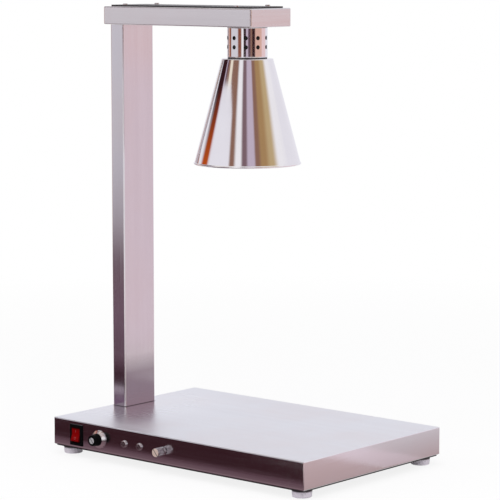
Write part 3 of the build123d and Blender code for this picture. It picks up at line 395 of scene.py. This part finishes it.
# Knob ends: a bright disc whose cut line is filled with black; the rest stays plated
knobEnd = {
    "line": (0.015, 0.015, 0.017),
    "lineDepth": 0.00012,
    "rim": 0.0008,
    "frontFrom": 0.7,  # a face that looks out of the panel this far is the knob's end
    "plated": (0.56, 0.52, 0.54),
    "platedDark": (0.44, 0.40, 0.42),
    "platedRoughness": 0.2,
    "spun": 420.0,
    "spunGloss": 0.12,
    "relief": (0.1, 0.0001),
}


def knobFace(name, node, face, faceDark, roughness, metal, look=knobEnd):
    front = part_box(node)[0].y

    def recipe(sheet):
        depth = past(sheet, yAxis, front)
        end = (facing(sheet, yAxis) < -look["frontFrom"]) * (depth < look["rim"])
        line = end * (depth > look["lineDepth"])
        spun = cloud(sheet, spot(sheet), look["spun"], detail=3.0)
        disc = tint(sheet, spun, opaque(face), opaque(faceDark))
        plated = tint(sheet, spun, opaque(look["plated"]), opaque(look["platedDark"]))
        gloss = look["platedRoughness"] + end * (roughness - look["platedRoughness"])
        return {
            "Base Color": tint(sheet, line, tint(sheet, end, plated, disc), opaque(look["line"])),
            "Metallic": 1 - end * (1 - metal),
            "Roughness": gloss + swing(spun, look["spunGloss"]),
            "Normal": relief(sheet, spun, *look["relief"]),
        }

    return paint(name, recipe)


# Moulded or painted surfaces: a fine skin, a little uneven in gloss and colour
moulded = {
    "uneven": 45.0,
    "unevenGloss": 0.14,
    "pits": 900.0,
    "pitGloss": 0.08,
    "relief": (0.2, 0.00008),
}


def skin(name, colour, deep, roughness, look=moulded, specular=0.5):
    def recipe(sheet):
        uneven = cloud(sheet, spot(sheet), look["uneven"], detail=3.0)
        pits = cloud(sheet, spot(sheet), look["pits"])
        gloss = roughness + swing(uneven, look["unevenGloss"])
        return {
            "Base Color": tint(sheet, uneven, opaque(colour), opaque(deep)),
            "Roughness": gloss + swing(pits, look["pitGloss"]),
            "Specular IOR Level": specular,
            "Normal": relief(sheet, pits, *look["relief"]),
        }

    return paint(name, recipe)


# Rocker: see-through red plastic, with painted shade towards its edges and its top, where it sinks into the bezel
rockerRed = {
    "red": (0.205, 0.0008, 0.0012),
    # painted shade at the rocker's edges
    "edge": (0.02, 0.001, 0.0012),
    "from": 0.5,  # shares of the way out to the edge
    "to": 1.0,
    "lower": 0.08,  # share of half its height by which the middle of the painted shade lies lower, so the top gets more
    "roughness": 0.26,
    "specular": 0.02,
    "flow": 240.0,
    "flowGloss": 0.12,
    "relief": (0.08, 0.0001),
}


def rockerPlastic(name, look=rockerRed):
    low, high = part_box("switch_rocker")
    middle = (low + high) / 2
    reach = (high - low) / 2

    def recipe(sheet):
        sideways = abs(past(sheet, xAxis, middle.x)) * (1 / reach.x)
        upright = abs(past(sheet, zAxis, middle.z - reach.z * look["lower"])) * (1 / reach.z)
        # painted shade: darker towards the edges and the top
        edge = ramped(sheet, sheet.maths("MAXIMUM", sideways, upright), look["from"], look["to"])
        flow = cloud(sheet, spot(sheet), look["flow"])
        return {
            "Base Color": tint(sheet, edge * edge, opaque(look["red"]), opaque(look["edge"])),
            "Roughness": look["roughness"] + swing(flow, look["flowGloss"]),
            "Specular IOR Level": look["specular"],
            "Normal": relief(sheet, flow, *look["relief"]),
        }

    return paint(name, recipe)


# Feet: pale plastic, with painted shade at the top where they meet the cover
footLook = {
    "pale": (0.80, 0.745, 0.82),
    "deep": (0.70, 0.64, 0.72),
    "roughness": 0.46,
    "uneven": 60.0,
    "unevenGloss": 0.14,
    "pits": 900.0,
    "relief": (0.2, 0.00008),
    # painted shade at the top of the foot, under the base
    "seat": (0.02, 0.016, 0.02),
    "seatHeight": 0.0045,
    "seatSolid": 0.55,  # share of it that is wholly dark
}


def footPlastic(name, look=footLook):
    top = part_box("foot_front_left")[1].z

    def recipe(sheet):
        height = past(sheet, zAxis, top)
        # painted shade: darker at the top of the foot
        seat = ramped(sheet, height, -look["seatHeight"], -look["seatSolid"] * look["seatHeight"])
        uneven = cloud(sheet, spot(sheet), look["uneven"], detail=3.0)
        pits = cloud(sheet, spot(sheet), look["pits"])
        pale = tint(sheet, uneven, opaque(look["pale"]), opaque(look["deep"]))
        return {
            "Base Color": tint(sheet, seat, pale, opaque(look["seat"])),
            "Roughness": look["roughness"] + swing(uneven, look["unevenGloss"]),
            "Normal": relief(sheet, pits, *look["relief"]),
        }

    return paint(name, recipe)


# Reflector glass: ruby at the front, silvered behind the widest ring
bulbGlass = {
    "ruby": (0.42, 0.035, 0.025),
    "silver": (0.82, 0.80, 0.78),
    "silverFrom": 0.42,  # share of its height
    "fade": 0.012,
    "coat": 0.6,
    "roughness": 0.10,
    "ripple": 60.0,
    "rippleGloss": 0.10,
    "relief": (0.06, 0.0006),
}


def reflectorGlass(name, look=bulbGlass):
    low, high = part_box("bulb_glass")
    edge = low.z + look["silverFrom"] * (high.z - low.z)

    def recipe(sheet):
        silver = ramped(sheet, past(sheet, zAxis, edge), 0.0, look["fade"])
        ripple = cloud(sheet, spot(sheet), look["ripple"])
        return {
            "Base Color": tint(sheet, silver, opaque(look["ruby"]), opaque(look["silver"])),
            "Metallic": silver,
            "Roughness": look["roughness"] + ripple * look["rippleGloss"],
            "Coat Weight": (1 - silver) * look["coat"],
            "Normal": relief(sheet, ripple, *look["relief"]),
        }

    return paint(name, recipe)


coarseMetal = {**plainLook, "grain": 60.0}
pressedFibre = {**moulded, "pits": 260.0, "relief": (0.2, 0.0004)}
# Plain finishes: the colour, the one it is mottled with, and the roughness
slotFinishes = {
    "stainless": brushedSteel("satinSteel", xAxis),
    "polished_chrome": polishedPlate("polishedPlate"),
    "black_cover": skin("coverPaint", (0.022, 0.021, 0.023), (0.034, 0.031, 0.034), 0.42),
    "screw_steel": plainMetal("brightScrew", (0.66, 0.62, 0.63), (0.54, 0.50, 0.52), 0.26),
    "galvanised_steel": plainMetal(
        "zincSheet", (0.52, 0.53, 0.55), (0.42, 0.43, 0.45), 0.42, look=coarseMetal
    ),
    "pale_plastic": footPlastic("paleFoot"),
    "silicone_mat": skin("heaterSilicone", (0.50, 0.16, 0.08), (0.42, 0.12, 0.06), 0.55),
    "insulation": skin(
        "fibreBoard", (0.80, 0.78, 0.70), (0.70, 0.66, 0.57), 0.85, look=pressedFibre
    ),
    "bare_aluminium": plainMetal("bareAluminium", (0.76, 0.76, 0.77), (0.66, 0.66, 0.68), 0.30),
    "knurled_metal": knobFace(
        "knurledPlate", "dimmer_knob", (0.66, 0.52, 0.46), (0.56, 0.42, 0.36), 0.45, metal=0.15
    ),
    "white_ceramic": skin("whiteCeramic", (0.84, 0.82, 0.77), (0.78, 0.75, 0.69), 0.38),
    "bright_brass": plainMetal("brightBrass", (0.80, 0.60, 0.27), (0.66, 0.46, 0.18), 0.24),
    "black_rubber": skin("blackRubber", (0.018, 0.018, 0.019), (0.028, 0.027, 0.027), 0.62),
    "bulb_glass": reflectorGlass("reflectorGlass"),
    "black_gloss_plastic": skin(
        "glossBlack", (0.002, 0.002, 0.0025), (0.005, 0.0045, 0.005), 0.34, specular=0.04
    ),
    "red_rocker": rockerPlastic("rockerRed"),
    "black_plastic": skin("blackNylon", (0.020, 0.020, 0.021), (0.030, 0.029, 0.030), 0.48),
    "green_board": skin("solderMask", (0.03, 0.16, 0.07), (0.02, 0.11, 0.05), 0.34),
    "cream_plastic": skin("creamBlock", (0.78, 0.73, 0.62), (0.70, 0.65, 0.54), 0.45),
    "lead_sheath": skin("leadSheath", (0.76, 0.75, 0.72), (0.68, 0.67, 0.64), 0.50),
}
ownFinishes = {  # pieces with a grain, marks or painted shade of their own
    "base_housing": brushedSteel("baseSteel", xAxis, yAxis, marksAndShade=baseMarksAndShade, look=baseSteel),
    "column_tube": brushedSteel("columnSteel", zAxis, marksAndShade=columnShadeMarks),
    "arm_housing": brushedSteel("armSteel", xAxis, yAxis, look=armSteel),
    "lamp_shade": polishedPlate("shadePlate", shadeInside, shadeBare),
    "vent_collar": polishedPlate("collarPlate", collarShadedFaces, collarShade),
    "knob_cap": knobFace(
        "capFace", "knob_cap", (0.54, 0.525, 0.545), (0.39, 0.375, 0.40), 0.38, metal=0.25
    ),
    "knob_skirt": polishedPlate("skirtPlate", look={**chrome, "roughness": 0.25}),
    "shade_gasket": skin("greyRubber", (0.075, 0.07, 0.078), (0.055, 0.05, 0.055), 0.55),
    # the socket is painted dark as shade, so the collar's vent holes show dark
    "lamp_socket": skin("smokedCeramic", (0.12, 0.105, 0.10), (0.08, 0.07, 0.065), 0.5),
    # the bottom cover is painted near-black as shade under the base
    "bottom_cover": skin("bottomPaint", (0.016, 0.013, 0.015), (0.026, 0.022, 0.025), 0.5),
}
for subpart in frame["record"]["subparts"]:
    name = subpart["node"]
    for place in nodes[name].material_slots:
        place.material = ownFinishes.get(name, slotFinishes[subpart["material_slot"]])
print("finishes:", len(slotFinishes) + len(ownFinishes))


# Grids of points as meshes
mergeDistance = 1e-6
sharpAngle = math.radians(40.0)


def gridQuads(count, wrap):
    index = np.arange(count[0] * count[1]).reshape(count)
    if wrap[0]:
        index = np.concatenate([index, index[:1]], axis=0)
    if wrap[1]:
        index = np.concatenate([index, index[:, :1]], axis=1)
    corners = [index[:-1, :-1], index[1:, :-1], index[1:, 1:], index[:-1, 1:]]
    return np.stack(corners, axis=-1).reshape(-1, 4)


# a grid of points, of shape rows x columns x 3, as an object; wrap says which way it closes
def surface(name, grid, wrap, material):
    mesh = bpy.data.meshes.new(name)
    quads = gridQuads(grid.shape[:2], wrap)
    mesh.from_pydata(grid.reshape(-1, 3).tolist(), [], quads.tolist())
    shape = bmesh.new()
    shape.from_mesh(mesh)
    bmesh.ops.remove_doubles(shape, verts=shape.verts, dist=mergeDistance)
    bmesh.ops.recalc_face_normals(shape, faces=shape.faces)
    shape.to_mesh(mesh)
    shape.free()
    mesh.shade_smooth()
    mesh.set_sharp_from_angle(angle=sharpAngle)
    mesh.materials.append(material)
    piece = bpy.data.objects.new(name, mesh)
    bpy.context.scene.collection.objects.link(piece)
    return piece


# On and off marks, sunk half into the rocker's two faces, which stand "lean" degrees apart:
# a place is how far out of the pivot and how far above it the face's middle lies
rockerMarks = {
    "pale": (0.27, 0.022, 0.02),
    "deep": (0.22, 0.015, 0.014),
    "roughness": 0.45,
    "proud": 0.00012,
    "bar": (0.0010, 0.0044),  # width and length
    "blunt": 12,  # the higher, the later the bar's ends close
    "ring": (0.0019, 0.0008),  # radius and width
    "upper": (0.00414, 0.0066),
    "lower": (0.00614, -0.00476),
    "lean": 20.0,
    "sectionPoints": 16,
    "barRows": 25,
    "ringRows": 48,
}


# across and up the face, and out of it, turned by the face's lean about X
def onRocker(across, up, out, place, lean):
    pivot = next(joint["pos_m"] for joint in frame["joints"] if joint["child"] == "rocker")
    sine = math.sin(math.radians(lean))
    cosine = math.cos(math.radians(lean))
    y = pivot[1] - place[0] - out * cosine + up * sine
    z = pivot[2] + place[1] + out * sine + up * cosine
    return np.stack([pivot[0] + across, y, z], axis=-1)


def makeMarks(look=rockerMarks):
    colour = skin("markPaint", look["pale"], look["deep"], look["roughness"])
    section = np.linspace(0, 2 * math.pi, look["sectionPoints"], endpoint=False)
    # bar: a flat oval section along the face that closes to a point at both ends
    share, turn = np.meshgrid(np.linspace(-1, 1, look["barRows"]), section, indexing="ij")
    full = np.sqrt(1 - share ** look["blunt"])
    width, length = look["bar"]
    across = full * np.cos(turn) * width / 2
    out = full * np.sin(turn) * look["proud"]
    grid = onRocker(across, share * length / 2, out, look["upper"], 0.0)
    bar = surface("onMark", grid, (False, True), colour)
    # ring: the same section carried round a circle
    circle = np.linspace(0, 2 * math.pi, look["ringRows"], endpoint=False)
    around, turn = np.meshgrid(circle, section, indexing="ij")
    middle, width = look["ring"]
    radius = middle + np.cos(turn) * width / 2
    across = radius * np.cos(around)
    up = radius * np.sin(around)
    out = np.sin(turn) * look["proud"]
    grid = onRocker(across, up, out, look["lower"], look["lean"])
    loop = surface("offMark", grid, (True, True), colour)
    for mark in (bar, loop):
        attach(mark, "rocker")
    return bar, loop


print("marks:", len(makeMarks()))


# Camera at the photograph's place
view = {
    "place": (2.3892, -2.7697, 0.8026),
    "target": (0.10389, -0.10797, 0.35932),
    "lens": 165.12,
    "sensor": 36.0,
    "farthest": 100.0,
}


def aimed(place, target):  # the turn of a camera or a lamp that looks at its target
    return (Vector(target) - Vector(place)).to_track_quat("-Z", "Y").to_euler()


camera = bpy.data.objects.new("photoCamera", bpy.data.cameras.new("photoCamera"))
camera.data.lens = view["lens"]
camera.data.sensor_width = view["sensor"]
camera.data.clip_end = view["farthest"]
camera.location = view["place"]
camera.rotation_euler = aimed(view["place"], view["target"])
bpy.context.scene.collection.objects.link(camera)
bpy.context.scene.camera = camera
bpy.context.scene.view_settings.view_transform = "Standard"
viewAngle = math.degrees(math.atan2(view["place"][0], -view["place"][1]))
print("camera: angle", round(viewAngle, 1))


# Stage: a pale floor that stays white to the camera and keeps the shadow
stage = {
    "reach": 9.0,
    "rows": 3,
    "level": -0.0003,  # just under the feet
    "tint": (0.93, 0.92, 0.94),
    "glow": 0.84,  # its own light from the middle to "fadeFrom"; it is all white from "fadeTo" on
    "fadeFrom": 0.5,
    "fadeTo": 2.2,
}
dome = {"fill": 0.55, "white": 1.0}
white = (1.0, 1.0, 1.0, 1.0)


def seenShare(sheet):  # 1 for rays that show a thing, 0 for rays that only light the object
    path = ("Is Camera Ray", "Is Glossy Ray", "Is Transmission Ray")
    rays = [sheet.make("ShaderNodeLightPath", out=name) for name in path]
    return sheet.maths("MINIMUM", rays[0] + rays[1] + rays[2], 1.0)


def floorShader(sheet, look=stage):
    away = sheet.make("ShaderNodeVectorMath", {"operation": "LENGTH"}, {0: spot(sheet)}, out=1)
    fade = ramped(sheet, away, look["fadeFrom"], look["fadeTo"])
    share = (look["glow"] + fade * (1 - look["glow"])) * seenShare(sheet)
    matt = sheet.make("ShaderNodeBsdfDiffuse", None, {"Color": opaque(look["tint"])})
    bright = sheet.make("ShaderNodeEmission", None, {"Color": white, "Strength": 1.0})
    return sheet.make("ShaderNodeMixShader", None, {0: share, 1: matt, 2: bright})


half = np.linspace(-stage["reach"], stage["reach"], stage["rows"])
floorX, floorY = np.meshgrid(half, half, indexing="ij")
floorGrid = np.stack([floorX, floorY, np.full_like(floorX, stage["level"])], axis=-1)
floor = surface("paleFloor", floorGrid, (False, False), newMaterial("paleFloor", floorShader))

world = bpy.data.worlds.new("studio")
bpy.context.scene.world = world
world.use_nodes = True
world.node_tree.nodes.clear()
sky = Wire(world.node_tree)
strength = dome["fill"] + seenShare(sky) * (dome["white"] - dome["fill"])
background = sky.make("ShaderNodeBackground", None, {"Color": white, "Strength": strength})
sky.make("ShaderNodeOutputWorld", None, {"Surface": background})


# Reflector screens that only the shine of the metal sees: three upright rings round the lamp
# and mats on the floor, in a few studio paints
paints = {
    "white": (0.95, 0.94, 0.97), "pearl": (0.88, 0.87, 0.93), "silver": (0.72, 0.70, 0.75),
    "lilac": (0.58, 0.49, 0.60), "mauve": (0.22, 0.14, 0.16), "plum": (0.12, 0.06, 0.08),
    "night": (0.036, 0.011, 0.015), "rust": (0.50, 0.082, 0.012), "brown": (0.28, 0.15, 0.11),
    "gold": (0.42, 0.26, 0.12), "tan": (0.56, 0.42, 0.23), "cream": (0.92, 0.83, 0.69),
    "peach": (0.74, 0.46, 0.38), "rose": (0.83, 0.69, 0.75), "blush": (0.87, 0.65, 0.66),
    "clay": (0.49, 0.36, 0.365), "dusk": (0.20, 0.12, 0.17), "heather": (0.36, 0.25, 0.38),
    "russet": (0.27, 0.085, 0.05),
}
ring = {
    "radius": 2.0,
    "columns": 180,
    "rows": 3,
    "footTop": 0.54,
    "collarTop": 0.70,
    "shadeTop": 2.6,
}
# A screen is degrees to the right of the camera, from and to, and its paint; between two
# screens the paints run into each other
floorBands = [
    (-180, -165, "pearl"), (-150, -118, "brown"), (-108, -52, "plum"), (-44, 70, "white"),
    (88, 118, "rose"), (140, 180, "pearl"),
]
footBands = [
    (-180, -160, "pearl"), (-150, -118, "peach"), (-108, -52, "silver"), (-44, 70, "white"),
    (88, 118, "rose"), (140, 180, "pearl"),
]
collarBands = [
    (-180, -152, "pearl"), (-146, -139, "russet"), (-132, -123, "peach"), (-116, -108, "russet"),
    (-101, -59, "silver"), (-50, -37, "russet"), (-31, -26, "white"), (-19, -10, "night"),
    (-5, 1, "lilac"), (8, 16, "plum"), (19, 25, "brown"), (29, 40, "night"), (48, 84, "peach"),
    (93, 114, "blush"), (130, 180, "pearl"),
]
shadeBands = [
    (-180, -124, "pearl"), (-113, -101, "rust"), (-95, -52, "pearl"), (-45, -39, "brown"),
    (-30, -21, "white"), (-14, -7, "mauve"), (0, 13, "lilac"), (19, 24, "brown"), (34, 42, "gold"),
    (57, 62, "tan"), (80, 89, "white"), (108, 180, "pearl"),
]
slatBands = [
    (-180, -102, "night"), (-97, -95, "lilac"), (-92, -87, "plum"), (-83, -76, "brown"),
    (-71, -64, "cream"), (-59, 180, "brown"),
]


def ringShare(angle):  # 0 and 1 straight behind the lamp, 0.5 towards the camera
    return angle * (1 / 360) + 0.5


def bandRamp(sheet, share, bands):
    stops = []
    for low, high, name in bands:
        colour = opaque(paints[name])
        stops += [(ringShare(low), colour), (ringShare(high), colour)]
    return sheet.make("ShaderNodeValToRGB", {"stops": stops}, {0: share})


def glowMaterial(name, recipe):  # recipe(sheet) gives the colour
    def shader(sheet):
        return sheet.make("ShaderNodeEmission", None, {"Color": recipe(sheet)})

    return newMaterial(name, shader)


# height of the point and its angle in degrees right of the camera
def ringPlace(sheet):
    angle = sheet.maths("ARCTAN2", past(sheet, xAxis, lampX), 0.0 - past(sheet, yAxis))
    angle = angle - math.radians(viewAngle)
    limits = {0: angle, 1: math.pi, 2: -math.pi}
    angle = sheet.make("ShaderNodeMath", {"operation": "WRAP"}, limits)
    return past(sheet, zAxis), angle * math.degrees(1.0)


# Foot ring: the floor's bands low down, which give way to its own in a quick and a slow step
footFade = {"from": 0.09, "quickTo": 0.15, "quickShare": 0.55, "slowTo": 0.40, "slowShare": 0.45}


def footGlow(sheet, look=footFade):
    height, angle = ringPlace(sheet)
    share = ringShare(angle)
    quick = ramped(sheet, height, look["from"], look["quickTo"]) * look["quickShare"]
    slow = ramped(sheet, height, look["from"], look["slowTo"]) * look["slowShare"]
    low = bandRamp(sheet, share, floorBands)
    return tint(sheet, quick + slow, low, bandRamp(sheet, share, footBands))


def collarGlow(sheet):
    return bandRamp(sheet, ringShare(ringPlace(sheet)[1]), collarBands)


# Shade ring: the shade sees the height "middle" at the front of its ring, less by "sag" a squared
# degree to the sides, and "reach" above and below it, a rise of 1 and -1. The screens lean with
# that rise, the other way far left, and at its foot they stand further right by twice "skew".
# Slats hang over them from one angle to another and begin twice "narrow" later low down; their
# lower end fades out between two rises, slowly on the left and lower by "rightDrop" on the right
slats = {
    "from": -127.0,
    "to": -44.0,
    "edge": 6.0,
    "middle": 1.51,
    "sag": 0.00004,
    "reach": 0.145,
    "lean": 0.09,
    "leftLean": -0.03,
    "leftLeanAngles": (-78.0, -98.0),
    "skew": 1.5,
    "narrow": 3.5,
    "end": (0.30, 0.46),
    "rightDrop": 0.5,
    "rightAngles": (-60.0, -48.0),
    "leftEnd": (-0.95, 0.42),
    "leftAngles": (-92.0, -101.0),
}


def shadeGlow(sheet, look=slats):
    height, angle = ringPlace(sheet)
    middle = look["middle"] - angle * angle * look["sag"]
    rise = ramped(sheet, height - middle, -look["reach"], look["reach"]) * 2 - 1
    farLeft = ramped(sheet, angle, *look["leftLeanAngles"])
    angle = angle - angle * rise * (look["lean"] + farLeft * (look["leftLean"] - look["lean"]))
    angle = angle - (1 - rise) * look["skew"]
    share = ringShare(angle)
    later = angle - (1 - rise) * look["narrow"]
    within = ramped(sheet, later, look["from"] - look["edge"], look["from"])
    within = within * ramped(sheet, angle, look["to"] + look["edge"], look["to"])
    left = ramped(sheet, angle, *look["leftAngles"])
    right = ramped(sheet, angle, *look["rightAngles"])
    above = ramped(sheet, rise + right * look["rightDrop"], *look["end"]) * (1 - left)
    above = above + ramped(sheet, rise, *look["leftEnd"]) * left
    screens = bandRamp(sheet, share, shadeBands)
    return tint(sheet, above * within, screens, bandRamp(sheet, share, slatBands))


# Mats: x from and to, y from and to, the axis of the change, then its start and end with paints;
# where two cross, the later one lies on top
mats = {
    "cornerMat": (0.268, 1.0, -0.60, 0.09, xAxis, (0.27, "clay"), (0.80, "blush")),
    "sideMat": (0.268, 1.7, 0.09, 1.9, xAxis, (0.24, "clay"), (0.42, "rose")),
    "farMat": (0.268, 0.72, 0.185, 0.62, xAxis, (0.28, "clay"), (0.62, "pearl")),
    "leftMat": (-2.4, -0.02, -2.2, -0.45, yAxis, (-0.50, "night"), (-0.95, "dusk")),
    "nearMat": (-0.75, 0.30, -0.45, -0.258, yAxis, (-0.40, "night"), (-0.258, "night")),
    "stripMat": (-0.42, 0.45, -0.258, -0.165, yAxis, (-0.258, "plum"), (-0.20, "mauve")),
    "shadowMat": (-0.85, -0.60, -0.65, -0.39, yAxis, (-0.65, "dusk"), (-0.50, "plum")),
    "patchMat": (-0.62, -0.52, -0.39, -0.32, yAxis, (-0.36, "pearl"), (-0.32, "lilac")),
    "footMat": (-0.52, -0.44, -0.32, -0.235, yAxis, (-0.32, "lilac"), (-0.28, "heather")),
}
matStep = 0.0003  # from one mat up to the next


def matGlow(axis, start, end):
    def recipe(sheet):
        share = ramped(sheet, past(sheet, axis), start[0], end[0])
        return tint(sheet, share, opaque(paints[start[1]]), opaque(paints[end[1]]))

    return recipe


def shineOnly(screen):
    screen.visible_camera = False
    screen.visible_diffuse = False
    screen.visible_transmission = False
    screen.visible_volume_scatter = False
    screen.visible_shadow = False


rings = {
    "footRing": (0.0, ring["footTop"], footGlow),
    "collarRing": (ring["footTop"], ring["collarTop"], collarGlow),
    "shadeRing": (ring["collarTop"], ring["shadeTop"], shadeGlow),
}
for name, (low, high, glow) in rings.items():
    # an upright cylinder round the lamp: angle along one way, height along the other
    angle = np.linspace(0, 2 * math.pi, ring["columns"], endpoint=False)
    angle, height = np.meshgrid(angle, np.linspace(low, high, ring["rows"]), indexing="ij")
    across = lampX + ring["radius"] * np.sin(angle)
    deep = -ring["radius"] * np.cos(angle)
    grid = np.stack([across, deep, height], axis=-1)
    shineOnly(surface(name, grid, (True, False), glowMaterial(name, glow)))
for order, (name, (left, right, near, far, axis, start, end)) in enumerate(mats.items(), 1):
    across, deep = np.meshgrid([left, right], [near, far], indexing="ij")
    grid = np.stack([across, deep, np.full_like(across, order * matStep)], axis=-1)
    shineOnly(surface(name, grid, (False, False), glowMaterial(name, matGlow(axis, start, end))))
print("stage:", len(rings), "rings,", len(mats), "mats")

lamps = {
    "overhead": {"place": (0.1, -0.2, 2.3), "size": 1.8, "power": 22.0},
    "frontRight": {"place": (1.9, -1.6, 1.7), "size": 1.2, "power": 16.0},
    "frontLeft": {"place": (-1.7, -1.8, 1.3), "size": 1.2, "power": 9.0},
}
lampTarget = (0.0, 0.0, 0.3)
for name, lamp in lamps.items():
    light = bpy.data.lights.new(name, "AREA")
    light.size = lamp["size"]
    light.energy = lamp["power"]
    holder = bpy.data.objects.new(name, light)
    holder.location = lamp["place"]
    holder.rotation_euler = aimed(lamp["place"], lampTarget)
    holder.visible_glossy = False
    bpy.context.scene.collection.objects.link(holder)
print("lamps:", len(lamps))
